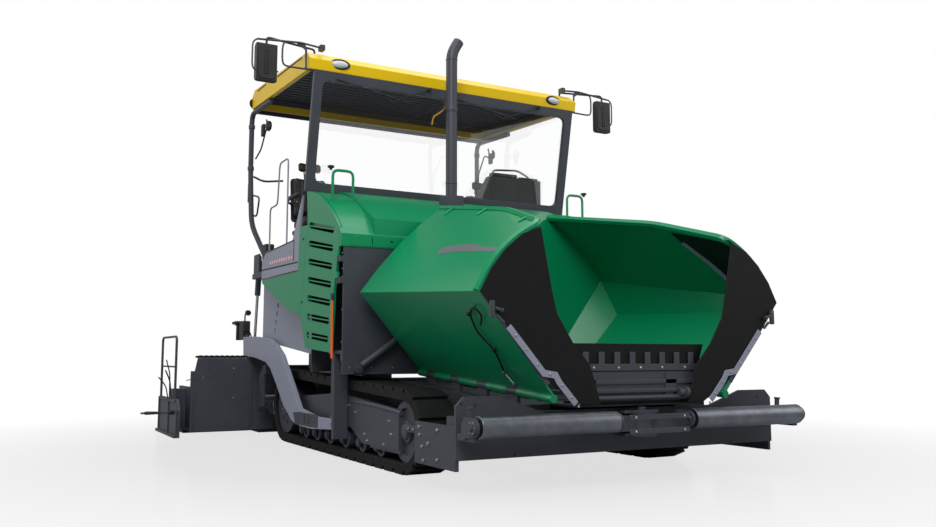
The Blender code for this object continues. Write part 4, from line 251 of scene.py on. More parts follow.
def makeHazardFilm(name):
    # Retroreflective film printed in slanted red and white bands, each half as wide as a repeat
    material, tree, place = newMaterial(name)
    split = addNode(tree, "ShaderNodeSeparateXYZ", links={0: place})
    slant = addNode(tree, "ShaderNodeMath", {"operation": "ADD"}, {0: split.outputs[1], 1: split.outputs[2]})
    turns = addNode(tree, "ShaderNodeMath", {"operation": "DIVIDE", 1: hazard["stripe"]},
                    {0: slant.outputs[0]})
    share = addNode(tree, "ShaderNodeMath", {"operation": "FRACT"}, {0: turns.outputs[0]})
    band = addNode(tree, "ShaderNodeMath", {"operation": "GREATER_THAN", 1: 0.5}, {0: share.outputs[0]})
    base = addNode(tree, "ShaderNodeMix",
                   {"data_type": "RGBA", 6: toLinear("#F2F1EE"), 7: toLinear("#E0331A")},
                   {0: band.outputs[0]})
    bead = addNode(tree, "ShaderNodeTexVoronoi", {"Scale": 1 / (3 * mm)}, {"Vector": place})
    bump = addNode(tree, "ShaderNodeBump", {"Strength": 0.1, "Distance": 0.2 * mm},
                   {"Height": bead.outputs[0]})
    shader = addNode(tree, "ShaderNodeBsdfPrincipled", {"Roughness": 0.3},
                     {"Base Color": base.outputs[2], "Normal": bump.outputs[0]})
    endMaterial(tree, shader)
    return material


greenEnamel = makeEnamel("greenEnamel", "#00945F", "#2E9A72", 0.30, 0.08)
yellowEnamel = makeEnamel("yellowEnamel", "#FFD400", "#EBCB30", 0.32, 0.06)
orangeEnamel = makeEnamel("orangeEnamel", "#F4661B", "#F0A25A", 0.3, 0.2)
graphitePaint = makePowderCoat("graphitePaint", "#42454E", "#5A5D66", 0.44, 0.30)
silverPaint = makePowderCoat("silverGreyPaint", "#979CAD", "#A0A3AE", 0.44, 0.30, 0.15)
# grey film for the wing: painted shade along the upper panel's crease line, which the curved sheet itself
# does not have
creaseShadeFilm = makePowderCoat("greyCreaseShadeFilm", "#6C6E74", "#808288", 0.35, 0.3, 0.05)
trackRubber = makeRubber("trackRubber", "#151516", "#2F2E2D", 0.4, 0.72)
apronRubber = makeRubber("apronRubber", "#101112", "#1E1F20", 0.3, 0.58)
hoseRubber = makeRubber("hoseRubber", "#141414", "#2C2C2C", 0.4, 0.45)
wornSteel = makeSteel("wornSteel", "#8F939C", 0.30, 6, 0)
zincSteel = makeSteel("zincPlatedSteel", "#B9BCC2", 0.32, 3, 2, 0.2)
hardChrome = makeSteel("hardChromePlate", "#D5D6DA", 0.08, 12, 2, 0.1)
screenGlass = makeGlass("laminatedGlass")
blackPlastic = makePlastic("blackAbsPlastic", "#1E1F21", 0.5, 1.6)
seatVinyl = makePlastic("seatVinyl", "#19191B", 0.55, 2.5, 0.35)
lampLens = makePlastic("clearPolycarbonateLens", "#DDE1E4", 0.08, 9.0, 0.5, 1.05)
amberLens = makePlastic("amberPolycarbonateLens", "#E07A12", 0.15, 6.0, 0.3, 1.1)
displayGlass = makePlastic("darkDisplayGlass", "#0B1216", 0.08, 40.0, 0.02, 1.2)
mirrorGlass = makeSteel("silveredMirrorGlass", "#C8CED2", 0.02, 200, 2, 0.05)
yellowNylon = makePlastic("yellowNylonSpiral", "#D9A21E", 0.4, 3.0, 0.3, 1.1)
hazardFilm = makeHazardFilm("redWhiteFilm")
print("materials ready")

# each slot's materials; the first is the one that the nodes of that slot wear
finishes = {
    "green_enamel": (greenEnamel, creaseShadeFilm),
    "yellow_enamel": (yellowEnamel, orangeEnamel, amberLens, yellowNylon),
    "graphite_paint": (graphitePaint,),
    "silver_grey_paint": (silverPaint, hazardFilm),
    "black_rubber": (apronRubber, hoseRubber, trackRubber),
    "worn_steel": (wornSteel, zincSteel),
    "chromed_rod": (hardChrome,),
    "screen_glass": (screenGlass, lampLens, displayGlass, mirrorGlass),
    "seat_vinyl": (seatVinyl,),
    "black_plastic": (blackPlastic,),
}
slotOf = {part["node"]: part["material_slot"] for part in frame["record"]["subparts"]}
bodyOf = {node: body for body, nodes in frame["record"]["behaviour"]["bodies"].items() for node in nodes}

# Every rigid node is shown through a copy whose edges are eased like real folded or cast metal

easing = {"width": 3.5 * mm, "segments": 2, "sharp": 36}


def easedCopy(node, material=None):
    # the node's own mesh, merged, its flat facets joined again and its sharp edges rounded
    source = frame["nodes"][node]
    shape = bmesh.new()
    shape.from_mesh(source.data)
    bmesh.ops.remove_doubles(shape, verts=shape.verts, dist=0.02 * mm)
    bmesh.ops.dissolve_limit(shape, angle_limit=radians(0.5), verts=shape.verts, edges=shape.edges)
    mesh = bpy.data.meshes.new(node + "_dressed")
    shape.to_mesh(mesh)
    shape.free()
    mesh.shade_smooth()
    mesh.set_sharp_from_angle(angle=radians(easing["sharp"]))
    mesh.materials.clear()
    mesh.materials.append(material or finishes[slotOf[node]][0])
    piece = bpy.data.objects.new(node + "_dressed", mesh)
    bpy.context.scene.collection.objects.link(piece)
    bevel = piece.modifiers.new("easedEdges", "BEVEL")
    bevel.width = easing["width"]
    bevel.segments = easing["segments"]
    bevel.limit_method = "ANGLE"
    bevel.angle_limit = radians(easing["sharp"])
    bevel.use_clamp_overlap = True
    flatter = piece.modifiers.new("flatFaces", "WEIGHTED_NORMAL")
    flatter.keep_sharp = True
    flatter.weight = 90
    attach(piece, bodyOf[node])
    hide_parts(node)
    return piece


finishOf = {"track_right": trackRubber, "track_left": trackRubber,
            "levelling_post_right": graphitePaint, "levelling_post_left": graphitePaint}
leftOut = ("seat_right", "seat_left")  # these get cushions of their own
for node in frame["nodes"]:
    if node not in leftOut:
        easedCopy(node, finishOf.get(node))
print("nodes dressed")

# Shapes worked out with numpy: each is its points and its faces


def gridFaces(rows, columns, rowsClosed, columnsClosed):
    # point (i, j) of a grid is number i * columns + j, and a face joins four neighbours
    i = np.arange(rows if rowsClosed else rows - 1)[:, None]
    j = np.arange(columns if columnsClosed else columns - 1)[None, :]
    ahead, beside = (i + 1) % rows, (j + 1) % columns
    return np.stack([i * columns + j, i * columns + beside, ahead * columns + beside, ahead * columns + j],
                    -1).reshape(-1, 4).tolist()


def skin(grid, loop=False):
    # rows of closed rings joined one to the next, with flat ends unless they run round in a loop
    rows, around = grid.shape[:2]
    faces = gridFaces(rows, around, loop, True)
    if not loop:
        faces += [list(range(around))[::-1], list(range((rows - 1) * around, rows * around))]
    return grid.reshape(-1, 3), faces


def frameOf(direction):
    # two unit vectors square to a direction
    along = np.array(direction, float)
    along /= np.linalg.norm(along)
    across = np.cross(along, (0, 0, 1) if abs(along[2]) < 0.9 else (0, 1, 0))
    across /= np.linalg.norm(across)
    return along, across, np.cross(along, across)


def turned(profile, start, direction, count=24):
    # P(i, t) = start + a_i along + r_i (cos t across + sin t up), for profile pairs (a, r)
    along, across, up = frameOf(direction)
    profile = np.array(profile, float)
    t = np.arange(count) * 2 * pi / count
    ring = np.cos(t)[:, None] * across + np.sin(t)[:, None] * up
    return skin(np.array(start, float) + profile[:, 0, None, None] * along + profile[:, 1, None, None] * ring)


def bent(points, radius, steps=5, loop=False):
    # the same line with each corner drawn as an arc: (1-s)^2 first + 2 s (1-s) corner + s^2 last
    points = np.array(points, float)
    share = np.linspace(0, 1, steps + 1)[:, None]
    path = [] if loop else [points[:1]]
    for k in range(len(points)) if loop else range(1, len(points) - 1):
        corner = points[k]
        ends = []
        for other in (points[k - 1], points[(k + 1) % len(points)]):
            reach = other - corner
            size = np.linalg.norm(reach)
            ends.append(corner + reach / size * min(radius, size * 0.49))
        path.append((1 - share) ** 2 * ends[0] + 2 * share * (1 - share) * corner + share ** 2 * ends[1])
    if not loop:
        path.append(points[-1:])
    return np.concatenate(path)


def carried(outline, path, loop=False):
    # a flat outline (u, v) carried along a path, its frame turned as little as it can be
    path, outline = np.array(path, float), np.array(outline, float)
    if loop:
        ahead = np.roll(path, -1, 0) - np.roll(path, 1, 0)
    else:
        ahead = np.gradient(path, axis=0)
    ahead /= np.linalg.norm(ahead, axis=1, keepdims=True)
    across = frameOf(ahead[0])[1]
    rows = []
    for place, along in zip(path, ahead):
        across = across - along * (across @ along)
        across /= np.linalg.norm(across)
        up = np.cross(along, across)
        rows.append(place + outline[:, :1] * across + outline[:, 1:] * up)
    return skin(np.array(rows), loop)


def circleOf(radius, count=12):
    t = np.arange(count) * 2 * pi / count
    return np.stack([np.cos(t), np.sin(t)], 1) * radius


def pipe(points, radius, bend=0.0, count=12, loop=False):
    return carried(circleOf(radius, count), bent(points, bend, loop=loop) if bend else points, loop)


def drawnIn(outline, distance):
    # each point moves inward along the mean of its two edges' normals, lengthened at sharp corners
    edge = np.roll(outline, -1, 0) - outline
    edge /= np.maximum(np.linalg.norm(edge, axis=1, keepdims=True), 1e-9)
    normal = np.stack([-edge[:, 1], edge[:, 0]], 1)
    before = np.roll(normal, 1, 0)
    return outline + (normal + before) / (1 + (normal * before).sum(1, keepdims=True)).clip(0.3) * distance


def plate(outline, thickness, place, u, v, edge=1.5 * mm):
    # a flat outline in the plane of u and v, thickened along u x v, with its edges drawn in
    outline = np.array(outline, float)
    area = (outline[:, 0] * np.roll(outline[:, 1], -1) - outline[:, 1] * np.roll(outline[:, 0], -1)).sum()
    if area < 0:
        outline = outline[::-1]
    u, v, place = np.array(u, float), np.array(v, float), np.array(place, float)
    w = np.cross(u, v)
    rows = [place + line[:, :1] * u + line[:, 1:] * v + level * w
            for line, level in ((drawnIn(outline, edge), 0), (outline, edge), (outline, thickness - edge),
                                (drawnIn(outline, edge), thickness))]
    return skin(np.array(rows))


def frontPlate(outline, thickness, y, edge=1.5 * mm):
    # a plate across the machine: (x, z) points at y, thickened towards the hopper
    return plate(outline, thickness, (0, y, 0), (1, 0, 0), (0, 0, 1), edge)


def sidePlate(outline, thickness, x, edge=1.5 * mm):
    # a plate along the machine: (y, z) points at x, thickened outwards
    return plate(outline, thickness, (x, 0, 0), (0, 1, 0), (0, 0, 1), edge)


def rect(low, high):
    return [low, (high[0], low[1]), high, (low[0], high[1])]


def roundRect(width, height, radius, steps=4):
    t = np.linspace(0, pi / 2, steps + 1)
    corner = np.stack([np.cos(t), np.sin(t)], 1) * radius
    quarters = []
    for k, (sx, sy) in enumerate(((1, 1), (-1, 1), (-1, -1), (1, -1))):
        turn = np.array([[cos(k * pi / 2), sin(k * pi / 2)], [-sin(k * pi / 2), cos(k * pi / 2)]])
        quarters.append(corner @ turn + (sx * (width / 2 - radius), sy * (height / 2 - radius)))
    return np.concatenate(quarters)


def block(low, high, axis=2, corner=6 * mm, edge=2 * mm):
    # a box with rounded corners seen along one axis and eased rims
    low, high = np.array(low, float), np.array(high, float)
    a, b = [(1, 2), (2, 0), (0, 1)][axis]
    size = high - low
    corner = min(corner, size[a] * 0.45, size[b] * 0.45)
    unit = np.eye(3)
    place = (low + high) / 2
    place[axis] = low[axis]
    return plate(roundRect(size[a], size[b], corner, 3), size[axis], place, unit[a], unit[b],
                 min(edge, size[axis] * 0.4))


def bolts(places, direction, across=18 * mm):
    # hexagon heads with a chamfer on round washers
    shapes = []
    for place in places:
        shapes.append(turned([(0, across * 0.62), (across * 0.12, across * 0.62),
                              (across * 0.14, across * 0.58)],
                             place, direction, 16))
        shapes.append(turned([(0, across * 0.5), (across * 0.42, across * 0.5), (across * 0.5, across * 0.4)],
                             place, direction, 6))
    return shapes


def flipped(shapes, side):
    return shapes if side > 0 else [(points * (-1, 1, 1), faces) for points, faces in shapes]


def newObject(name, points, faces):
    # an object whose faces are all turned outward
    mesh = bpy.data.meshes.new(name)
    mesh.from_pydata(points.tolist(), [], faces)
    shape = bmesh.new()
    shape.from_mesh(mesh)
    bmesh.ops.recalc_face_normals(shape, faces=shape.faces)
    shape.to_mesh(mesh)
    shape.free()
    piece = bpy.data.objects.new(name, mesh)
    bpy.context.scene.collection.objects.link(piece)
    return piece


def addPiece(name, shapes, material, body, slot=None, sharp=36):
    # joins the shapes in one mesh and hangs it on its body; the slot it is told is not used
    points, faces, start = [], [], 0
    for some, these in shapes:
        points.append(some)
        faces += [[n + start for n in face] for face in these]
        start += len(some)
    piece = newObject(name, np.concatenate(points), faces)
    piece.data.shade_smooth()
    piece.data.set_sharp_from_angle(angle=radians(sharp))
    piece.data.materials.append(material)
    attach(piece, body)
    return piece


def addSides(pieces, extras=None):
    # a table of pieces with their material, body and shapes, drawn on the machine's left and mirrored for
    # its right; a body whose name ends in _ has one on either side
    for name, side in sides:
        for label, (material, body, shapes) in pieces.items():
            where = body + name if body.endswith("_") else body
            addPiece(label + "_" + name, flipped(shapes, side), material, where,
                     **(extras or {}).get(label, {}))


# The hopper's wings: the same sheet as the solid's, so that trim can lie on it

wing = {"front": -3.100, "rear": -1.030, "mid": -2.400, "hingeX": 0.787, "hingeZ": (0.613, 0.759),
        "bulgeX": 1.361, "bulgeZ": (1.322, 1.444), "topX": (0.872, 0.723, 0.583),
        "topZ": (1.804, 2.009, 2.240),
        "bow": (0.070, 0.045), "rise": 0.020, "stations": (0.0, 0.34, 0.67, 1.0), "sheet": 12 * mm,
        "panelStep": 0.155}  # the step is metres of sheet in one unit of s on the upper panel


def wingStations():
    # line of foot, bulge and top at each station; the upper panel bows out by 4 b a (1 - a)
    shares = np.array(wing["stations"])
    y = wing["front"] + (wing["rear"] - wing["front"]) * shares
    known = (wing["front"], wing["mid"], wing["rear"])
    topX, topZ = np.interp(y, known, wing["topX"]), np.interp(y, known, wing["topZ"])
    bulge, foot = np.interp(shares, (0, 1), wing["bulgeZ"]), np.interp(shares, (0, 1), wing["hingeZ"])
    bow = np.interp(shares, (0, 1), wing["bow"])
    width, height = topX - wing["bulgeX"], topZ - bulge
    reach = np.hypot(width, height)
    a = np.linspace(0, 1, 5)[None, :]
    out = bow[:, None] * 4 * a * (1 - a)
    x = wing["bulgeX"] + width[:, None] * a + out * (height / reach)[:, None]
    z = bulge[:, None] + height[:, None] * a - out * (width / reach)[:, None]
    first = np.stack([np.full(4, wing["hingeX"]), foot + wing["rise"]], 1)
    return np.concatenate([first[:, None], np.stack([x, z], 2)], 1)


wingRows = wingStations()


def onWing(y, s, out=0.0):
    # a point of the left wing's sheet: s is 0 at the foot, 1 at the bulge and 5 at the rail, and out is
    # along its normal
    y, s = np.broadcast_arrays(np.array(y, float), np.array(s, float))
    share = ((y - wing["front"]) / (wing["rear"] - wing["front"])).clip(0, 1)
    row = np.interp(share, wing["stations"], range(4))
    low = np.minimum(row.astype(int), 2)
    part = (row - low)[..., None, None]
    line = wingRows[low] * (1 - part) + wingRows[low + 1] * part
    first = np.minimum(s.astype(int), 4)
    here = np.take_along_axis(line, first[..., None, None], -2)[..., 0, :]
    there = np.take_along_axis(line, first[..., None, None] + 1, -2)[..., 0, :]
    step = there - here
    place = here + step * (s - first)[..., None]
    normal = np.stack([step[..., 1], -step[..., 0]], -1) / np.linalg.norm(step, axis=-1, keepdims=True)
    place = place + normal * np.array(out)[..., None]
    return np.stack([place[..., 0], y, place[..., 1]], -1)


def film(y, s, inner, outer):
    # a thin sheet over the wing between two offsets, its points given by grids of y and s
    low, high = onWing(y, s, inner), onWing(y, s, outer)
    rows, columns = y.shape
    faces = gridFaces(rows, columns, False, False)
    start = rows * columns
    back = [[n + start for n in face[::-1]] for face in faces]
    rim = ([(i, 0) for i in range(rows)] + [(rows - 1, j) for j in range(1, columns)]
           + [(i, columns - 1) for i in range(rows - 2, -1, -1)]
           + [(0, j) for j in range(columns - 2, 0, -1)])
    line = [i * columns + j for i, j in rim]
    walls = [[a, b, b + start, a + start] for a, b in zip(line, line[1:] + line[:1])]
    return np.concatenate([low.reshape(-1, 3), high.reshape(-1, 3)]), faces + back + walls


def bandOnWing(ends, width, inner, outer, steps=24, taper=(1.0, 1.0)):
    # a band of constant width along the straight line between two (y, s) points of the sheet
    (y0, s0), (y1, s1) = ends
    t = np.linspace(0, 1, steps + 1)[:, None]
    side = np.array([-0.5, 0.0, 0.5])[None, :]
    size = width * (taper[0] + (taper[1] - taper[0]) * t)
    along = np.array([y1 - y0, (s1 - s0) * wing["panelStep"]])
    along /= np.linalg.norm(along)
    y = y0 + (y1 - y0) * t - side * size * along[1]
    s = s0 + (s1 - s0) * t + side * size * along[0] / wing["panelStep"]
    return film(y, s, inner, outer)


liner = {"thick": 8 * mm, "sink": 3 * mm, "rearHigh": (-1.040, 1.95), "rearLow": (-1.240, 0.80),
         "frontHigh": (-3.085, 1.27), "frontLow": (-3.085, 0.90), "rearFoot": (-1.190, 0.06),
         "wallFoot": (0.563, -1.040, 0.800)}


def lineOnWing(start, end, out, count=13):
    # points spread evenly between two (y, s) places of the sheet
    t = np.linspace(0, 1, count)
    return onWing(start[0] + (end[0] - start[0]) * t, start[1] + (end[1] - start[1]) * t, out)


def linerPlates():
    # plates that chamfer the inside corners, each a flat facet between sheet and rear wall
    high = lineOnWing(liner["rearHigh"], liner["frontHigh"], -liner["sink"])
    low = lineOnWing(liner["rearLow"], liner["frontLow"], -liner["sink"])
    foot = onWing(*[np.array(value) for value in liner["rearFoot"]], np.array(-liner["sink"]))
    shapes = []
    for rows in (np.stack([high, low], 1), np.array([[high[0], low[0]], [liner["wallFoot"], foot]])):
        normal = np.cross(rows[-1, 0] - rows[0, 0], rows[0, 1] - rows[0, 0])
        normal *= -np.sign(normal[0]) if abs(normal[0]) > abs(normal[1]) else -np.sign(normal[1])
        normal /= np.linalg.norm(normal)
        shapes.append(skin(np.stack([rows[:, 0], rows[:, 1], rows[:, 1] - normal * liner["thick"],
                                     rows[:, 0] - normal * liner["thick"]], 1)))
    return shapes


# the band of painted crease shade on the wing's upper panel
stripe = {"from": (-2.05, 2.66), "to": (-3.062, 2.99), "width": 62 * mm, "raise": 0.5 * mm,
          "taper": (0.75, 1.0)}
rubberSheet = {"thick": 6 * mm, "gap": 0.5 * mm, "s": (1.45, 4.6), "lap": 20 * mm, "inset": 4 * mm}
clampStrip = {"line": [(1.152, 1.094), (0.878, 0.786), (0.784, 0.772), (0.755, 0.724), (0.617, 0.575)],
              "width": 46 * mm, "thick": 8 * mm, "y": -3.1128, "across": 15 * mm,
              "bolts": ((1.10, 1.036), (1.02, 0.946), (0.93, 0.845), (0.83, 0.779), (0.735, 0.705),
                        (0.66, 0.622), (0.60, 0.558))}
innerStrip = {"ends": ((-2.53, 4.05), (-2.745, 1.97)), "width": 46 * mm, "thick": 8 * mm, "sink": 1 * mm,
              "boltShares": (0.1, 0.37, 0.63, 0.9)}
halfSheet = wing["sheet"] / 2
underRubber = halfSheet + rubberSheet["thick"]


def stripOutline(line, width):
    # both sides of a bent line, a constant half width away, mitred at its corners
    line = np.array(line, float)
    step = np.diff(line, axis=0)
    step /= np.linalg.norm(step, axis=1, keepdims=True)
    normals = np.stack([-step[:, 1], step[:, 0]], 1)
    before = np.vstack([normals[:1], normals])
    after = np.vstack([normals, normals[-1:]])
    miter = (before + after) / (1 + (before * after).sum(1, keepdims=True))
    return np.concatenate([line + miter * width / 2, (line - miter * width / 2)[::-1]])


def clampStrips():
    # the strip on the front edge and the one inside the sheet, which hold the rubber between them
    line = stripOutline(clampStrip["line"], clampStrip["width"])
    deep = -underRubber - innerStrip["thick"]
    return [frontPlate(line, clampStrip["thick"], clampStrip["y"]),
            bandOnWing(innerStrip["ends"], innerStrip["width"], deep, -underRubber, 8)]


def clampBolts():
    face = clampStrip["y"] - clampStrip["thick"]
    shapes = bolts([(x, face, z) for x, z in clampStrip["bolts"]], (0, -1, 0), clampStrip["across"])
    depth = underRubber + innerStrip["thick"] + innerStrip["sink"]
    for share in innerStrip["boltShares"]:
        y, s = (a + (b - a) * share for a, b in zip(*innerStrip["ends"]))
        under, over = onWing(y, s, -depth), onWing(y, s, -2 * depth)
        shapes += bolts([under], over - under, clampStrip["across"])
    return shapes


def rubberOnWing():
    # rubber that lies on the inside of the sheet from the inner strip forward
    t, s = np.meshgrid(np.linspace(0, 1, 9), np.linspace(*rubberSheet["s"], 20), indexing="ij")
    (y0, s0), (y1, s1) = innerStrip["ends"]
    rearLine = np.interp(s, (s1, s0), (y1, y0)) + rubberSheet["lap"]
    y = rearLine + (wing["front"] + rubberSheet["inset"] - rearLine) * t
    return film(y, s, -underRubber, -halfSheet - rubberSheet["gap"])


flange = {"width": 60 * mm, "thick": 6 * mm, "inset": 1 * mm, "s": (0.1, 1.0)}
wingBracket = [
    block((1.265, -3.135, 1.150), (1.300, -3.113, 1.262), 0, 8 * mm),
    turned([(0, 0.012), (0.05, 0.012), (0.05, 0.018), (0.062, 0.018)], (1.262, -3.124, 1.215),
           (-1, 0, -0.3), 12),
    turned([(0, 0.010), (0.07, 0.010)], (1.245, -3.124, 1.165), (-1, 0, -0.9), 12)]
railGussets = {"y": (-1.35, -2.05, -2.85), "s": (4.55, 5.0), "raise": 8 * mm, "radius": 9 * mm}
gateRam = {"hoseY": (-2.70, -2.79, -2.72, -2.80, -2.93, -2.97, -2.85),
           "hoseS": (0.22, 0.44, 0.62, 0.80, 0.885, 0.80, 0.70), "hoseRaise": 30 * mm, "hoseRadius": 7 * mm,
           "foot": (0.905, -2.80, 0.700), "headDrop": (0.0, -10 * mm, -10 * mm), "rodRadius": 6 * mm}


def flangeOnWing():
    # folded flange along the front edge below the bulge
    y, s = np.full(10, wing["front"] + flange["inset"]), np.linspace(*flange["s"], 10)
    outer, inward = onWing(y, s, halfSheet), onWing(y, s, halfSheet - flange["width"])
    back = (0, flange["thick"], 0)
    return skin(np.stack([outer, inward, inward - back, outer - back], 1))


def gussets():
    # stiffening ribs under the top rail
    return [pipe(onWing(np.full(6, y), np.linspace(*railGussets["s"], 6), halfSheet + railGussets["raise"]),
                 railGussets["radius"], count=8) for y in railGussets["y"]]


# the small ram on the outside of the wing, with its hose loop
gateLoop = onWing(np.array(gateRam["hoseY"]), np.array(gateRam["hoseS"]), gateRam["hoseRaise"])
gateEyes = [np.array(gateRam["foot"]), gateLoop[0] + gateRam["headDrop"]]
gateReach = np.linalg.norm(gateEyes[1] - gateEyes[0])

addSides({
    "hopperLiner": (greenEnamel, "wing_", linerPlates()),
    # a grey band of painted shade where the wing's sheet has its crease
    "wingCreaseShade": (creaseShadeFilm, "wing_", [
        bandOnWing((stripe["from"], stripe["to"]), stripe["width"], halfSheet, halfSheet + stripe["raise"],
                   taper=stripe["taper"])]),
    "rubberClamps": (silverPaint, "wing_", clampStrips()),
    "rubberBolts": (zincSteel, "wing_", clampBolts()),
    "wingRubberSheet": (apronRubber, "wing_", [rubberOnWing()]),
    "frontFlange": (graphitePaint, "wing_", [flangeOnWing()] + wingBracket),
    "railGussets": (greenEnamel, "wing_", gussets()),
    "gateHose": (hoseRubber, "wing_", [
        pipe(gateLoop, gateRam["hoseRadius"], 0.06, 10),
        *[turned([(0, 0.014), (0.03, 0.014)], gateLoop[n], (0, 1, 0.2), 10) for n in (1, 3)]]),
    "gateRamRod": (hardChrome, "wing_", [
        turned([(0, gateRam["rodRadius"]), (gateReach, gateRam["rodRadius"])], gateEyes[0],
               (gateEyes[1] - gateEyes[0]) / gateReach, 14)]),
    "gateRamEyes": (graphitePaint, "wing_", [
        turned([(-0.012, 0.016), (0.012, 0.016)], point, (0, 1, 0), 14) for point in gateEyes]),
}, {"hopperLiner": {"sharp": 20}, "rubberClamps": {"slot": "green_enamel"},
    "rubberBolts": {"slot": "green_enamel"}})
print("hopper wings trimmed")

# Front beam: side plates, bolts, and the ends of the rollers' axles

beam = {"front": -2.930, "plate": 1.444, "across": 22 * mm, "hole": [(0, 10 * mm), (1 * mm, 10 * mm)],
        "bolts": ((-2.381, 0.404), (-2.389, 0.350), (-2.426, 0.271), (-2.448, 0.178), (-2.66, 0.40),
                  (-2.66, 0.20), (-2.52, 0.30)),
        "holes": ((1.405, 0.590), (1.300, 0.577), (1.350, 0.470), (0.993, 0.236), (0.873, 0.234))}
rollerEnd = {"x": 1.434, "y": -3.198, "z": 0.452, "ringX": 1.480, "ringRadius": 37 * mm, "across": 9 * mm,
             "hub": [(0, 0.030), (0.012, 0.034), (0.020, 0.050), (0.040, 0.050), (0.046, 0.044),
                     (0.046, 0.022), (0.060, 0.020)],
             "bracket": ((1.40, -3.19, 0.36), (1.452, -2.96, 0.40))}


def makeBeamTrim():
    dark, holes, screws, ringScrews = [], [], [], []
    y, z, radius = rollerEnd["y"], rollerEnd["z"], rollerEnd["ringRadius"]
    ring = [(rollerEnd["ringX"], y + radius * cos(t), z + radius * sin(t))
            for t in np.linspace(0, 2 * pi, 7)[:-1]]
    for name, side in sides:
        places = [(beam["plate"], *spot) for spot in beam["bolts"]]
        screws += flipped(bolts(places, (1, 0, 0), beam["across"]), side)
        ringScrews += flipped(bolts(ring, (1, 0, 0), rollerEnd["across"]), side)
        # black discs over the side plates' holes: painted shade for the dark inside of each hole
        holes += [turned(beam["hole"], (side * holeX, beam["front"], holeZ), (0, -1, 0), 16)
                  for holeX, holeZ in beam["holes"]]
        # fixed end of the roller's axle: stepped hub with a ring of bolts
        dark.append(turned(rollerEnd["hub"], (side * rollerEnd["x"], y, z), (side, 0, 0), 20))
        dark += flipped([block(*rollerEnd["bracket"], 2, 8 * mm)], side)
    addPiece("beamBolts", screws + ringScrews, zincSteel, "root")
    addPiece("beamHoleShade", holes, blackPlastic, "root")
    addPiece("beamBrackets", dark, graphitePaint, "root")


makeBeamTrim()

# Valve block and hose ends beside the rollers, on both ends alike

valve = {
    "body": [block((1.33, -3.10, 0.42), (1.43, -3.00, 0.50), 0, 6 * mm),
             turned([(0, 0.026), (0.05, 0.026), (0.055, 0.020), (0.075, 0.020)], (1.40, -3.10, 0.470),
                    (0, -1, 0), 18),
             turned([(0, 0.018), (0.06, 0.018), (0.062, 0.024), (0.074, 0.024)], (1.395, -3.04, 0.500),
                    (0.1, 0, 1), 14)],
    "caps": [turned([(0, 0.012), (0.012, 0.012)], (1.40, -3.175, 0.470), (0, -1, 0), 6),
             turned([(0, 0.011), (0.01, 0.011)], (1.432, -3.06, 0.455), (1, 0, 0), 6),
             turned([(0, 0.011), (0.01, 0.011)], (1.432, -3.03, 0.475), (1, 0, 0), 6)]}
addSides({"valveBlock": (graphitePaint, "push_bar", valve["body"]),
          "valveCaps": (zincSteel, "push_bar", valve["caps"])})

# Steel front wall of the conveyor under the toothed plate: folded sheet, cross tube, shaft and hub

conveyorWall = {
    "sheets": [frontPlate(rect((-0.60, 0.58), (0.60, 0.792)), 4 * mm, -3.0475),
               frontPlate([(0.22, 0.62), (0.30, 0.60), (0.34, 0.74), (0.24, 0.78)], 10 * mm, -3.052),
               frontPlate([(-0.50, 0.60), (-0.42, 0.60), (-0.40, 0.76), (-0.52, 0.76)], 10 * mm, -3.052)],
    "folds": [block((-0.58, -3.062, 0.700), (0.58, -3.050, 0.735), 0, 3 * mm),
              block((-0.56, -3.075, 0.640), (0.56, -3.050, 0.670), 0, 4 * mm)],
    "shaft": [pipe([(-0.52, -3.072, 0.605), (0.52, -3.072, 0.605)], 17 * mm, count=18),
              turned([(0, 0.030), (0.05, 0.030), (0.055, 0.045), (0.075, 0.045), (0.08, 0.030),
                      (0.10, 0.030)], (0.33, -3.082, 0.635), (1, 0, 0), 22)]}
toothPlate = {"boltX": (-0.42, -0.20, 0.0, 0.20, 0.42), "y": -3.0592, "z": 0.818, "across": 17 * mm}

addPiece("conveyorFront", conveyorWall["sheets"] + conveyorWall["folds"] + conveyorWall["shaft"],
         graphitePaint, "root")
toothBolts = [(x, toothPlate["y"], toothPlate["z"]) for x in toothPlate["boltX"]]
addPiece("toothPlateBolts", bolts(toothBolts, (0, -1, 0), toothPlate["across"]), zincSteel, "root")

# Coupling jaw on the push bar: lower and upper plates with the pin between

jaw = {"pin": ([(0, 0.026), (0.012, 0.030), (0.03, 0.030)], (0, -3.06, 0.508), (0, 0, 1), 20),
       "plates": (((-0.27, -3.262, 0.462), (0.27, -3.250, 0.500)),
                  ((-0.27, -3.262, 0.366), (0.27, -3.250, 0.402))),
       "boltX": (-0.22, 0.22), "boltZ": (0.481, 0.384), "front": -3.262, "across": 16 * mm}

addPiece("jawPlates", [turned(*jaw["pin"])] + [block(low, high, 1, 8 * mm) for low, high in jaw["plates"]],
         graphitePaint, "push_bar")
jawBolts = [(x, jaw["front"], z) for x in jaw["boltX"] for z in jaw["boltZ"]]
addPiece("jawBolts", bolts(jawBolts, (0, -1, 0), jaw["across"]), zincSteel, "push_bar")
print("front beam trimmed")

# Tracks: chain guards, bolts on rollers, idler and frame

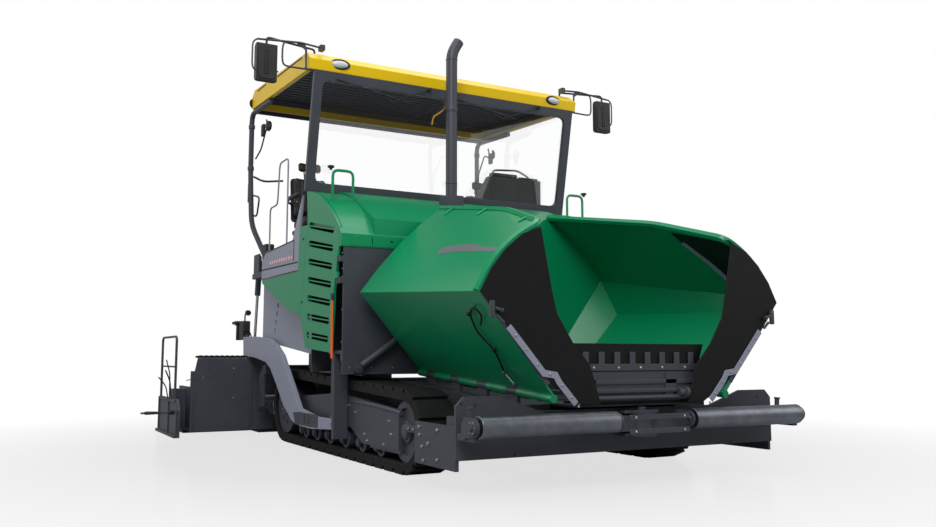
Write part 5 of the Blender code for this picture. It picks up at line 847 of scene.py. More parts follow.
trackTrim = {"idler": (-1.860, 0.325), "sprocket": (1.190, 0.385), "face": 1.300, "rollerZ": 0.165,
             "rollers": (0.658, 0.257, -0.100, -0.506, -0.895, -1.284), "boltFace": 1.334, "across": 20 * mm,
             "bolts": ((-0.878, 0.420), (-1.093, 0.250), (-1.60, 0.390), (-1.644, 0.290), (-1.50, 0.200),
                       (-1.15, 0.200), (-0.717, 0.470), (-2.05, 0.357), (-1.96, 0.357)),
             "guard": [(1.318, -0.780, 0.505), (1.322, -1.20, 0.500), (1.322, -1.60, 0.480),
                       (1.318, -1.80, 0.462)],
             "idlerHub": [(0, 0.060), (0.010, 0.060), (0.016, 0.052), (0.024, 0.052), (0.030, 0.030)],
             "rollerHub": [(0, 0.046), (0.010, 0.046), (0.014, 0.036), (0.022, 0.036), (0.026, 0.018)],
             "sprocketHub": [(0, 0.12), (0.012, 0.12), (0.020, 0.10), (0.030, 0.10), (0.034, 0.05)],
             "hubFace": 1.290, "hubBoltFace": 1.318, "hubBoltRadius": 82 * mm}


def trackFrameTrim():
    shapes = [pipe(trackTrim["guard"], 20 * mm, 0.1, 14),
              turned(trackTrim["idlerHub"], (trackTrim["face"], *trackTrim["idler"]), (1, 0, 0), 28),
              block((1.310, -2.10, 0.330), (1.330, -1.93, 0.385), 0, 10 * mm),
              block((1.310, -1.80, 0.150), (1.330, -1.20, 0.175), 0, 8 * mm)]
    shapes += [turned(trackTrim["rollerHub"], (trackTrim["face"], y, trackTrim["rollerZ"]), (1, 0, 0), 22)
               for y in trackTrim["rollers"]]
    return shapes + [turned(trackTrim["sprocketHub"], (trackTrim["hubFace"], *trackTrim["sprocket"]),
                            (1, 0, 0), 32)]


def trackFrameBolts():
    y, z = trackTrim["sprocket"]
    radius = trackTrim["hubBoltRadius"]
    heads = [(trackTrim["boltFace"], *spot) for spot in trackTrim["bolts"]]
    heads += [(trackTrim["hubBoltFace"], y + radius * cos(t), z + radius * sin(t))
              for t in np.linspace(0, 2 * pi, 11)[:-1]]
    return bolts(heads, (1, 0, 0), trackTrim["across"])


addSides({"trackFrameTrim": (graphitePaint, "root", trackFrameTrim()),
          "trackFrameBolts": (zincSteel, "root", trackFrameBolts())})
print("track frames trimmed")

# Engine bulkhead, orange strip and side panels

sidePanel = {"wall": 1.4985, "face": 1.500, "film": 1.5002, "front": -0.9015, "seam": 4 * mm}
doorCatch = [(0, 0.013), (0.004, 0.013), (0.006, 0.010)]
panelScrews = ((0.36, 1.790), (1.50, 1.805), (0.36, 2.44), (1.38, 1.985), (0.55, 1.965), (1.38, 1.60),
               (0.95, 1.52))
bulkheadScrews = {"small": ((1.482, 1.792), (1.482, 1.656), (1.482, 1.585), (1.482, 1.30), (1.482, 1.02)),
                  "large": ((1.40, 0.80), (1.20, 0.80), (1.00, 0.80))}
panelSeams = ([(0.300, 1.818), (1.588, 1.846), (1.588, 1.860), (0.300, 1.832)],
              [(0.300, 1.737), (1.560, 1.742), (1.560, 1.752), (0.300, 1.747)],
              [(0.430, 2.052), (1.430, 2.030), (1.430, 2.042), (0.430, 2.066)],
              [(0.425, 1.850), (0.440, 1.850), (0.440, 2.060), (0.425, 2.060)])

addSides({
    "orangeStrip": (orangeEnamel, "root", [
        sidePlate([(-0.752, 0.880), (-0.704, 0.880), (-0.694, 1.392), (-0.740, 1.392)], 10 * mm,
                  sidePanel["wall"], 3 * mm)]),
    "stripCap": (blackPlastic, "root", [
        block((sidePanel["wall"], -0.748, 1.394), (1.512, -0.690, 1.452), 0, 10 * mm, 3 * mm)]),
    # red and white film of hazard stripes, and the dark joints between the platform's side panels
    "hazardStripes": (hazardFilm, "root", [
        sidePlate([(0.500, 1.880), (1.320, 1.892), (1.320, 1.922), (0.500, 1.910)], 0.8 * mm,
                  sidePanel["film"], 0.2 * mm)]),
    "panelJoints": (hoseRubber, "root", [
        sidePlate(seam, sidePanel["seam"], sidePanel["wall"]) for seam in panelSeams]),
    "panelScrews": (zincSteel, "root",
                    bolts([(sidePanel["face"], *spot) for spot in panelScrews], (1, 0, 0), 14 * mm)),
    # door catches and the small screws on the bulkhead's front edge
    "doorCatches": (blackPlastic, "side_door_", [
        turned(doorCatch, (sidePanel["face"], *spot), (1, 0, 0), 20)
        for spot in ((0.135, 2.035), (0.140, 1.420))]),
    "bulkheadScrews": (zincSteel, "root", [
        *bolts([(x, sidePanel["front"], z) for x, z in bulkheadScrews["small"]], (0, -1, 0), 9 * mm),
        *bolts([(x, sidePanel["front"], z) for x, z in bulkheadScrews["large"]], (0, -1, 0), 12 * mm)]),
    # rounded edge of the foot shelf below the bulkhead
    "bulkheadFold": (graphitePaint, "root", [
        pipe([(1.500, sidePanel["front"], 0.748), (0.64, sidePanel["front"], 0.748)], 6 * mm, count=8)]),
})

# Hood: black knobs of the catches above the handles, joint lines on the front strip

hoodTrim = {"knob": [(0, 0.014), (0.018, 0.014), (0.020, 0.030), (0.034, 0.032), (0.040, 0.026)],
            "knobAt": (1.440, -0.450, 2.618), "button": [(0, 0.010), (0.003, 0.010)],
            "buttonAt": (1.02, -0.9075, 1.915),
            "jointX": (-1.395, -1.185, 1.185, 1.395), "jointZ": (1.858, 1.956), "jointY": -0.9060,
            "jointHalf": 3 * mm}


def makeHoodTrim():
    knobs = []
    for name, side in sides:
        mirrored = (side, 1, 1)
        knobs.append(turned(hoodTrim["knob"], np.multiply(mirrored, hoodTrim["knobAt"]), (0, 0, 1), 18))
        knobs.append(turned(hoodTrim["button"], np.multiply(mirrored, hoodTrim["buttonAt"]), (0, -1, 0), 14))
    addPiece("handleKnobs", knobs, blackPlastic, "root")
    (low, high), half, y = hoodTrim["jointZ"], hoodTrim["jointHalf"], hoodTrim["jointY"]
    joints = [frontPlate(rect((x - half, low), (x + half, high)), 1.5 * mm, y, 0.3 * mm)
              for x in hoodTrim["jointX"]]
    addPiece("hoodJoints", joints, hoseRubber, "root")


makeHoodTrim()

# Exhaust: clamp and weld beads; spiral hose under the roof

exhaustTrim = {"place": (-0.148, -0.390), "radius": 0.057, "clampZ": 3.379, "beadZ": (3.900, 2.62),
               "hose": [(-0.030, -0.02, 3.600), (-0.040, -0.04, 3.500), (-0.120, -0.045, 3.430),
                        (-0.185, -0.05, 3.390), (-0.200, -0.05, 3.300)]}


def makeExhaustTrim():
    x, y = exhaustTrim["place"]
    r, z = exhaustTrim["radius"], exhaustTrim["clampZ"]
    inner, outer, crest = r + 1 * mm, r + 5 * mm, r + 7 * mm
    clamp = [turned([(-0.022, inner), (-0.022, outer), (-0.006, crest), (0.006, crest), (0.022, outer),
                     (0.022, inner)], (x, y, z), (0, 0, 1), 40),
             block((x - 0.085, y - 0.02, z - 0.014), (x - r, y + 0.02, z + 0.014), 1, 4 * mm),
             turned([(-0.03, 0.006), (0.03, 0.006)], (x - 0.075, y, z), (0, 1, 0), 10)]
    bead = [(-0.006, r), (-0.004, r + 3 * mm), (0.004, r + 3 * mm), (0.006, r)]
    beads = [turned(bead, (x, y, high), (0, 0, 1), 40) for high in exhaustTrim["beadZ"]]
    addPiece("exhaustClamp", clamp + beads, graphitePaint, "root")
    addPiece("spiralHose", [pipe(exhaustTrim["hose"], 8 * mm, 0.05, 10)], yellowNylon, "root")


makeExhaustTrim()

# Roof: headlamps, rear lamps, slot lines and ribs; wipers in the plane of the screen

screen = {"foot": (0.089, 2.502), "top": (-0.139, 3.654)}
roofTrim = {"lamp": (1.262, -0.160, 3.738), "rear": (1.545, 1.972, 3.852), "amber": (1.30, 1.985, 3.860),
            "rimBack": 6 * mm, "slotX": 1.5625,
            "slots": (((0.10, 3.838), (0.93, 3.884)), ((1.38, 3.925), (1.72, 3.940))),
            "ribY": (0.45, 1.70), "ribs": 5, "ribHalf": 1.30, "lineY": (-0.041, 1.860),
            "lineZ": (3.848, 3.985)}
wipers = {"pivots": ((-0.294, 0.985), (1.046, 0.985)), "ends": ((-0.705, 0.825), (0.589, 0.825)),
          "blades": (((-1.290, 0.950), (-0.500, 0.845)), ((-0.010, 0.950), (0.780, 0.845))),
          "knob": [(0, 0.020), (0.030, 0.020), (0.036, 0.014)], "armOut": 48 * mm, "endOut": 50 * mm,
          "bladeOut": 34 * mm, "knobOut": 24 * mm}


def onScreen(x, share, out=0.0):
    # a point of the leaning screen: share runs from its foot to its top, out is towards the hopper
    (y0, z0), (y1, z1) = screen["foot"], screen["top"]
    size = hypot(y1 - y0, z1 - z0)
    normal = np.array((0, -(z1 - z0) / size, (y1 - y0) / size))
    return np.array((x, y0 + (y1 - y0) * share, z0 + (z1 - z0) * share)) + normal * out


def domed(centre, halfWidth, halfHeight, depth, direction, count=28, rings=7):
    # an ellipse that swells out: P = centre + cos t (w cos u across + h cos u up) + d sin u along
    along, across, up = frameOf(direction)
    u = np.linspace(0, pi / 2 * 0.96, rings)
    t = np.arange(count) * 2 * pi / count
    ring = np.cos(t)[:, None] * across * halfWidth + np.sin(t)[:, None] * up * halfHeight
    u = u[:, None, None]
    grid = np.array(centre, float) + np.cos(u) * ring + np.sin(u) * depth * along
    return skin(np.concatenate([(grid[:1] - along * 0.01), grid]))


def makeRoofLamps():
    lens, rims, amber = [], [], []
    back = roofTrim["rimBack"]
    for name, side in sides:
        x, y, z = roofTrim["lamp"]
        ahead = (0.15 * side, -1, -0.1)
        lens.append(domed((side * x, y, z), 0.082, 0.036, 0.030, ahead))
        rims.append(domed((side * x, y + back, z + 0.004), 0.106, 0.052, 0.014, ahead))
        x, y, z = roofTrim["rear"]
        lens.append(domed((side * x, y, z), 0.050, 0.050, 0.030, (0.5 * side, 1, 0)))
        rims.append(domed((side * x, y - back, z), 0.060, 0.060, 0.016, (0.5 * side, 1, 0)))
        x, y, z = roofTrim["amber"]
        amber.append(domed((side * x, y, z), 0.050, 0.025, 0.018, (0, 1, 0)))
    addPiece("roofLampLenses", lens, lampLens, "root")
    addPiece("roofLampRims", rims, blackPlastic, "root")
    addPiece("roofTurnLamps", amber, amberLens, "root")


def makeRoofLines():
    # slot lines that run back along both edges, and the ribs across the top
    slots, ribs = [], []
    for name, side in sides:
        x = side * roofTrim["slotX"]
        for (y0, z0), (y1, z1) in roofTrim["slots"]:
            slots.append(carried(roundRect(0.010, 0.016, 0.004, 2),
                                 [(x, y0, z0), (x, (y0 + y1) / 2, (z0 + z1) / 2), (x, y1, z1)]))
    addPiece("roofSlots", slots, hoseRubber, "root")
    (y0, y1), (z0, z1), half = roofTrim["lineY"], roofTrim["lineZ"], roofTrim["ribHalf"]
    for y in np.linspace(*roofTrim["ribY"], roofTrim["ribs"]):
        z = z0 + (z1 - z0) * (y - y0) / (y1 - y0)
        ribs.append(carried(roundRect(0.030, 0.012, 0.005, 3), [(-half, y, z), (0, y, z), (half, y, z)]))
    addPiece("roofRibs", ribs, yellowEnamel, "root")


def makeWipers():
    shapes = []
    for pivot, end, (first, last) in zip(wipers["pivots"], wipers["ends"], wipers["blades"]):
        a, b = onScreen(*pivot, wipers["armOut"]), onScreen(*end, wipers["endOut"])
        c, d = onScreen(*first, wipers["bladeOut"]), onScreen(*last, wipers["bladeOut"])
        middle = (c + d) / 2
        shapes += [turned(wipers["knob"], onScreen(*pivot, wipers["knobOut"]), a - onScreen(*pivot), 16),
                   carried(roundRect(0.016, 0.010, 0.004, 2), [a, (a + b) / 2, b]),
                   carried(roundRect(0.008, 0.014, 0.003, 2), [c, middle, d]),
                   carried(roundRect(0.010, 0.008, 0.003, 2), [b, (b + middle) / 2, middle])]
    addPiece("wipers", shapes, blackPlastic, "root")


makeRoofLamps()
makeRoofLines()
makeWipers()

# Mirrors: arms of bent tube, the plate that joins them, shells with a rim, and the glass

mirror = {"y": -0.100, "middle": 1.975, "high": 3.6575, "back": 29.5 * mm, "glass": 2.0 * mm,
          "web": [(1.700, 3.912), (1.600, 3.912), (1.574, 3.868), (1.574, 3.680), (1.556, 3.655),
                  (1.606, 3.655), (1.590, 3.690), (1.596, 3.850), (1.640, 3.880)],
          "armX": (1.400, 1.640, 2.060), "armZ": (3.900, 3.912, 3.876),
          "lowerX": (1.430, 1.790, 1.820, 1.820, 1.800), "lowerZ": (3.668, 3.655, 3.690, 3.850, 3.888),
          "frameX": (1.860, 2.075, 2.110, 2.110, 2.060), "frameZ": (3.585, 3.560, 3.600, 3.840, 3.876),
          "ridges": ((1.955, 1.972), (1.978, 1.995)), "ridgeZ": (3.54, 3.78)}


def mirrorArms():
    y = mirror["y"]
    arm, lower = ([(x, y + 0.02 if n == 0 else y, z) for n, (x, z) in enumerate(zip(mirror[a], mirror[b]))]
                  for a, b in (("armX", "armZ"), ("lowerX", "lowerZ")))
    frameTube = [(x, y - 0.01, z) for x, z in zip(mirror["frameX"], mirror["frameZ"])]
    return [pipe(arm, 10 * mm, 0.03, 10), pipe(lower, 9 * mm, 0.06, 10), pipe(frameTube, 8 * mm, 0.05, 10),
            frontPlate(mirror["web"], 8 * mm, y + 0.012),
            block((1.380, y - 0.02, 3.640), (1.445, y + 0.05, 3.690), 1, 6 * mm),
            block((1.400, y - 0.02, 3.870), (1.450, y + 0.05, 3.925), 1, 6 * mm)]


def mirrorPlate(width, height, corner, thickness, y, edge=3 * mm):
    place = (mirror["middle"], y, mirror["high"])
    return plate(roundRect(width, height, corner, 6), thickness, place, (1, 0, 0), (0, 0, 1), edge)


def mirrorShells():
    y, (low, high) = mirror["y"], mirror["ridgeZ"]
    return [mirrorPlate(0.206, 0.361, 0.030, 10 * mm, y + mirror["back"] + 10 * mm),
            mirrorPlate(0.170, 0.325, 0.040, 8 * mm, y - 30 * mm)] + [
            block((x0, y - 0.046, low), (x1, y - 0.036, high), 1, 4 * mm) for x0, x1 in mirror["ridges"]]


addSides({
    "mirrorArms": (graphitePaint, "root", mirrorArms()),
    "mirrorShells": (blackPlastic, "root", mirrorShells()),
    "mirrorGlasses": (mirrorGlass, "root", [
        mirrorPlate(0.182, 0.337, 0.024, mirror["glass"], mirror["y"] + mirror["back"] + 12.5 * mm,
                    0.5 * mm)]),
})
print("hood, roof and mirrors trimmed")

# Operator's seats: the moulded foam is blown up by a short cloth run, then seamed

seat = {"x": 1.100, "y": 0.950, "panLow": 2.245, "panHigh": 2.360, "half": 0.215, "backLow": 2.400,
        "backTop": 3.040, "lean": 0.11, "voxel": 9.6 * mm, "quickVoxel": 15 * mm, "cap": 24 * mm,
        "frames": 20, "pressure": 4.0, "seamDepth": 9 * mm, "seamWidth": 11 * mm, "seamShare": 0.58,
        "backSeamShare": 0.55, "armX": 0.245, "postX": 0.05, "columnFoot": 1.8505,
        "column": [(0, 0.105), (0.012, 0.105), (0.020, 0.070), (0.165, 0.060), (0.170, 0.085),
                   (0.180, 0.085)],
        "bellows": (2.055, 31 * mm, 26 * mm, 5)}  # foot, pitch, thickness and number of the folds


def leaned(points, foot):
    # y moves with the height over the foot of the lean
    return points + (points[:, 2:] - foot) * np.array((0, seat["lean"], 0))


def softBlock(name, low, high, foot=None):
    # a starting form a little smaller than the pad, leaned back over its foot where it has one
    points, faces = block(low, high, 1 if high[2] - low[2] > 0.3 else 2, 45 * mm, 25 * mm)
    if foot is not None:
        points = leaned(points, foot)
    return newObject(name, points, faces)


def coordinates(mesh, what="co"):
    values = np.empty(len(mesh.vertices) * 3)
    mesh.vertices.foreach_get(what, values)
    return values.reshape(-1, 3)


def inflate(piece):
    # voxel remesh, pressure from inside with no gravity, movement capped, result kept in the mesh
    remesh = piece.modifiers.new("even", "REMESH")
    remesh.mode, remesh.voxel_size = "VOXEL", seat["voxel"]
    graph = bpy.context.evaluated_depsgraph_get()
    mesh = bpy.data.meshes.new_from_object(piece.evaluated_get(graph))
    piece.modifiers.clear()
    piece.data = mesh
    before = coordinates(mesh)
    cloth = piece.modifiers.new("fill", "CLOTH")
    cloth.settings.use_pressure = True
    cloth.settings.uniform_pressure_force = seat["pressure"]
    cloth.settings.effector_weights.gravity = 0
    cloth.settings.quality = 5
    cloth.point_cache.frame_start, cloth.point_cache.frame_end = 1, seat["frames"]
    for number in range(1, seat["frames"] + 1):
        bpy.context.scene.frame_set(number)
    graph = bpy.context.evaluated_depsgraph_get()
    puffed = bpy.data.meshes.new_from_object(piece.evaluated_get(graph))
    piece.modifiers.clear()
    moved = coordinates(puffed) - before
    size = np.linalg.norm(moved, axis=1, keepdims=True)
    after = before + moved * np.minimum(1, seat["cap"] / np.maximum(size, 1e-9))
    mesh.vertices.foreach_set("co", after.ravel())
    bpy.context.scene.frame_set(1)
    mesh.update()
    return piece


def pressSeams(piece, seams):
    # each seam is a plane (point, normal) and the side that it faces; points near it sink by
    # depth exp(-(d / width)^2) into the pad
    mesh = piece.data
    place, normals = coordinates(mesh), coordinates(mesh, "normal")
    sink = np.zeros(len(place))
    for point, normal, facing in seams:
        away = (place - point) @ np.array(normal, float)
        seen = (normals @ np.array(facing, float)).clip(0)
        sink += seat["seamDepth"] * np.exp(-(away / seat["seamWidth"]) ** 2) * seen
    mesh.vertices.foreach_set("co", (place - normals * sink[:, None]).ravel())
    mesh.update()


def finishPad(piece, body):
    piece.data.materials.clear()
    piece.data.materials.append(seatVinyl)
    piece.data.shade_smooth()
    smooth = piece.modifiers.new("finer", "SUBSURF")
    smooth.levels = smooth.render_levels = 1
    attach(piece, body)


def seatPads(name, x, y):
    half, across, up, ahead = seat["half"], (1, 0, 0), (0, 0, 1), (0, -1, 0)
    bottom = inflate(softBlock("seatCushion_" + name, (x - half, y - 0.23, seat["panLow"] + 0.022),
                               (x + half, y + 0.20, seat["panHigh"])))
    pressSeams(bottom, [((x + sign * half * seat["seamShare"], y, 0), across, up) for sign in (-1, 1)]
               + [((x, y - 0.05, 0), (0, 1, 0), up)])
    back = inflate(softBlock("seatBack_" + name, (x - half * 0.95, y + 0.155, seat["backLow"]),
                             (x + half * 0.95, y + 0.225, 2.870), seat["backLow"]))
    pressSeams(back, [((x + sign * half * seat["backSeamShare"], y, 0), across, ahead) for sign in (-1, 1)]
               + [((x, y, 2.62), up, ahead)])
    head = inflate(softBlock("seatHeadRest_" + name, (x - 0.13, y + 0.215, 2.925),
                             (x + 0.13, y + 0.265, seat["backTop"]), 2.92))
    return bottom, back, head


def seatShell(x, y):
    # back shell, pan, foot plate, folds of the suspension's bellows, arm rests and posts of the head rest
    points, faces = block((x - 0.20, y + 0.245, 2.36), (x + 0.20, y + 0.262, 2.86), 1, 40 * mm, 6 * mm)
    low = seat["panLow"]
    shapes = [(leaned(points, seat["backLow"]), faces),
              block((x - 0.20, y - 0.21, low - 0.035), (x + 0.20, y + 0.22, low + 0.012), 2, 30 * mm, 8 * mm),
              block((x - 0.17, y - 0.18, 2.02), (x + 0.17, y + 0.18, 2.05), 2, 20 * mm, 4 * mm)]
    foot, pitch, thick, folds = seat["bellows"]
    for z in foot + pitch * np.arange(folds):
        shapes.append(block((x - 0.155, y - 0.165, z), (x + 0.155, y + 0.165, z + thick), 2, 30 * mm,
                            11 * mm))
    for dx in (-seat["armX"], seat["armX"]):
        shapes.append(block((x + dx - 0.024, y - 0.17, 2.585), (x + dx + 0.024, y + 0.17, 2.628), 2, 20 * mm,
                            12 * mm))
        shapes.append(pipe([(x + dx, y + 0.15, 2.60), (x + dx, y + 0.245, 2.585),
                            (x + dx * 0.8, y + 0.262, 2.56)], 12 * mm, 0.03))
    for dx in (-seat["postX"], seat["postX"]):
        shapes.append(pipe([(x + dx, y + 0.262, 2.85), (x + dx, y + 0.292, 2.95)], 7 * mm, count=10))
    return shapes


def makeSeat(name, side):
    body = "seat_" + name
    x, y = side * seat["x"], seat["y"]
    for pad in seatPads(name, x, y):
        finishPad(pad, body)
    base = addPiece("seatFrame_" + name, seatShell(x, y), blackPlastic, body)
    addPiece("seatColumn_" + name, [turned(seat["column"], (x, y, seat["columnFoot"]), (0, 0, 1), 32)],
             graphitePaint, body)
    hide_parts("seat_" + name)


for name, side in sides:
    makeSeat(name, side)
print("seats padded")

# Operator's desk: screens, keypads, joystick, hood with grab bar

desk = {"x": 0.950, "edge": (0.250, 2.880), "run": 0.27, "fall": 0.22,
        "screens": ((-0.17, 0.20, 0.14), (0.09, 0.17, 0.12)), "frame": 35 * mm, "screenDown": 0.10,
        "keys": (9, 2), "keyPitch": (56 * mm, 38 * mm), "keyStart": (-0.23, 0.235), "lift": 6 * mm,
        "stick": [(0, 0.030), (0.010, 0.026), (0.030, 0.012), (0.090, 0.011), (0.100, 0.020), (0.130, 0.022),
                  (0.145, 0.012)],
        "stickAt": (0.255, 0.20)}


def makeDeskTrim():
    x, across = desk["x"], (1, 0, 0)
    length = hypot(desk["run"], desk["fall"])
    tilt = np.array((0, desk["run"], -desk["fall"])) / length  # line down the sloping face
    up = np.array((0, desk["fall"], desk["run"])) / length

    def onDesk(dx, down, lift=desk["lift"]):
        # a point of the sloping face: across it, down it and off it
        return np.array((x + dx, *desk["edge"])) + tilt * down + up * lift

    shapes = [plate(roundRect(0.58, 0.30, 0.02), 5 * mm, onDesk(0, 0.18, 1 * mm), across, -tilt, 1.5 * mm)]
    screens = []
    for dx, w, h in desk["screens"]:
        shapes.append(plate(roundRect(w + desk["frame"], h + desk["frame"], 0.014), 9 * mm,
                            onDesk(dx, desk["screenDown"]), across, -tilt, 3 * mm))
        glass = onDesk(dx, desk["screenDown"], desk["lift"] + 9.2 * mm)
        screens.append(plate(roundRect(w, h, 0.006), 1.2 * mm, glass, across, -tilt, 0.4 * mm))
    (columns, rows), key = desk["keys"], roundRect(0.036, 0.024, 0.005)
    places = [np.array(desk["keyStart"]) + np.array(desk["keyPitch"]) * (i, j)
              for i in range(columns) for j in range(rows)]
    keys = [plate(key, 5 * mm, onDesk(*place), across, -tilt, 1.5 * mm) for place in places]
    shapes += [turned(desk["stick"], onDesk(*desk["stickAt"]), up * 0.9 + np.array((0, 0.1, 0.3)), 20),
               pipe([(x + 0.27, 0.300, 2.84), (x + 0.27, 0.290, 2.935), (x + 0.05, 0.205, 2.985),
                     (x - 0.27, 0.205, 2.960), (x - 0.27, 0.230, 2.86)], 11 * mm, 0.06),
               block((x - 0.300, 0.150, 2.8795), (x + 0.02, 0.235, 2.925), 0, 16 * mm, 6 * mm),
               block((x + 0.06, 0.155, 2.8795), (x + 0.30, 0.225, 2.905), 0, 12 * mm, 5 * mm),
               pipe([(x - 0.31, 0.30, 2.60), (x - 0.345, 0.40, 2.60), (x - 0.345, 0.50, 2.70),
                     (x - 0.31, 0.50, 2.64)], 9 * mm, 0.04)]
    addPiece("deskTrim", shapes, blackPlastic, "console")
    addPiece("deskDisplays", screens, displayGlass, "console")
    addPiece("deskKeys", keys, silverPaint, "console")


makeDeskTrim()

# Levers, hoses and boxes at the rear posts

rearPost = {
    "levers": [
        pipe([(1.50, 1.98, 3.20), (1.46, 1.90, 3.30), (1.45, 1.72, 3.52), (1.46, 1.60, 3.46),
              (1.47, 1.66, 3.60)], 9 * mm, 0.05),
        pipe([(1.50, 2.04, 3.00), (1.40, 1.98, 2.94), (1.18, 1.92, 2.96)], 12 * mm, 0.06),
        pipe([(1.52, 2.02, 2.55), (1.49, 1.90, 2.50), (1.49, 1.80, 2.72), (1.52, 2.04, 2.78)], 10 * mm,
             0.06)],
    "boxes": [block((1.490, 1.62, 3.40), (1.522, 1.70, 3.54), 0, 14 * mm, 8 * mm),
              block((1.36, 1.60, 1.860), (1.46, 1.74, 2.16), 0, 16 * mm, 8 * mm),
              domed((1.475, 1.55, 3.500), 0.045, 0.060, 0.030, (1, -0.5, 0))],
    "ring": [(-0.02, 0.031), (-0.02, 0.037), (0.02, 0.037), (0.02, 0.031)], "ringAt": (1.530, 2.068),
    "ringZ": (3.10, 3.60), "tab": block((1.512, 2.098, 2.70), (1.548, 2.112, 2.92), 0, 6 * mm)}

addSides({
    "postLevers": (blackPlastic, "root", rearPost["levers"] + rearPost["boxes"]),
    "postClamps": (graphitePaint, "root", [
        *[turned(rearPost["ring"], (*rearPost["ringAt"], z), (0, 0, 1), 24) for z in rearPost["ringZ"]],
        rearPost["tab"]]),
})

# Screed: plates, ribs and the black tread strip on the front wall of the extension

extension = {"wall": 2.307, "strip": (1.44, 2.04), "stripZ": (0.8805, 0.906), "cleats": (1.50, 1.98, 9),
             "boltX": (1.255, 1.215), "boltZ": (0.845, 0.785, 0.725), "across": 15 * mm,
             "moreBolts": ((1.60, 0.42), (1.60, 0.76), (1.95, 0.66), (1.20, 0.30)),
             "plates": ((rect((1.395, 0.10), (1.420, 0.74)), 22 * mm),
                        (rect((1.290, 0.27), (1.318, 0.76)), 26 * mm),
                        ([(1.78, 0.69), (2.14, 0.62), (2.14, 0.63), (1.79, 0.70)], 4 * mm, 1 * mm),
                        (rect((1.775, 0.70), (1.785, 0.775)), 4 * mm, 1 * mm),
                        ([(1.14, 0.05), (2.07, 0.036), (2.07, 0.052), (1.14, 0.066)], 6 * mm, 1 * mm),
                        (rect((2.040, 0.06), (2.056, 0.72)), 8 * mm))}


def treadStrip():
    # the strip and its raised cleats
    (x0, x1), (low, high), y = extension["strip"], extension["stripZ"], extension["wall"]
    return [block((x0, y + 0.002, low), (x1, y + 0.028, high), 0, 5 * mm, 3 * mm)] + [
        block((x - 0.02, y + 0.006, high - 1 * mm), (x + 0.02, y + 0.024, high + 5 * mm), 2, 4 * mm, 2 * mm)
        for x in np.linspace(*extension["cleats"])]


def wallBolts():
    y = extension["wall"]
    places = [(x, y, z) for x in extension["boltX"] for z in extension["boltZ"]]
    return bolts(places + [(x, y, z) for x, z in extension["moreBolts"]], (0, -1, 0), extension["across"])


# Tow arm: pad plate at the foot with its slots drawn as black painted shade, boxes and lamp on top

towArm = {
    "face": 1.4462, "pad": 6 * mm,
    "padOutline": [(-0.225, 0.246), (0.427, 0.236), (0.500, 0.347), (0.300, 0.360), (-0.228, 0.362)],
    "slotY": (0.02, 0.14), "slotZ": 0.305,
    "controlBox": [
        block((1.340, 2.62, 1.1005), (1.430, 2.80, 1.330), 0, 16 * mm, 6 * mm),
        block((1.348, 2.60, 1.20), (1.424, 2.62, 1.31), 1, 10 * mm, 4 * mm),
        pipe([(1.385, 2.71, 1.33), (1.385, 2.71, 1.41), (1.385, 2.60, 1.43)], 9 * mm, 0.03),
        turned([(0, 0.030), (0.045, 0.034), (0.060, 0.030)], (1.385, 2.60, 1.43), (0, -1, -0.15), 20),
        pipe([(1.36, 2.78, 1.30), (1.28, 2.86, 1.20), (1.20, 2.90, 1.00), (1.10, 2.92, 0.80)], 8 * mm, 0.08),
        pipe([(1.40, 2.66, 1.10), (1.42, 2.50, 1.16), (1.42, 2.36, 1.12)], 8 * mm, 0.06)],
    "remote": [block((1.335, 3.00, 1.1005), (1.405, 3.06, 1.30), 0, 10 * mm, 4 * mm),
               block((1.300, 2.96, 1.30), (1.440, 3.14, 1.335), 2, 12 * mm, 6 * mm),
               pipe([(1.37, 3.14, 1.318), (1.37, 3.24, 1.300)], 10 * mm, count=12)],
    "key": [(0, 0.009), (0.008, 0.008)], "keyX": (1.335, 1.370, 1.405), "keyY": (3.00, 3.05, 3.10),
    "keyZ": 1.335}

# End gate: frame bars, crank handle, levers

endGate = {
    "face": 2.2652, "bar": 14 * mm,
    "bars": ([(2.10, 0.03), (2.13, 0.03), (2.13, 0.40), (2.10, 0.31)], rect((2.60, 0.03), (2.64, 0.415)),
             rect((3.22, 0.03), (3.25, 0.415)), rect((2.20, 0.385), (3.25, 0.415))),
    "rail": pipe([(2.25, 2.35, 0.78), (2.25, 3.24, 0.78)], 10 * mm),
    "crank": [turned([(0, 0.012), (0.05, 0.016), (0.16, 0.020), (0.18, 0.014), (0.19, 0.008)],
                     (2.40, 2.300, 0.270), (1, 0, 0), 20),
              turned([(0, 0.020), (0.02, 0.024), (0.06, 0.024)], (2.2655, 2.300, 0.270), (1, 0, 0), 20)],
    "levers": [pipe([(2.28, 2.42, 0.42), (2.30, 2.40, 0.62), (2.36, 2.36, 0.74)], 8 * mm, 0.05),
               pipe([(2.28, 2.52, 0.42), (2.29, 2.48, 0.70), (2.33, 2.50, 0.86)], 7 * mm, 0.05),
               pipe([(2.28, 2.62, 0.42), (2.31, 2.60, 0.56), (2.40, 2.56, 0.66)], 7 * mm, 0.05)]}

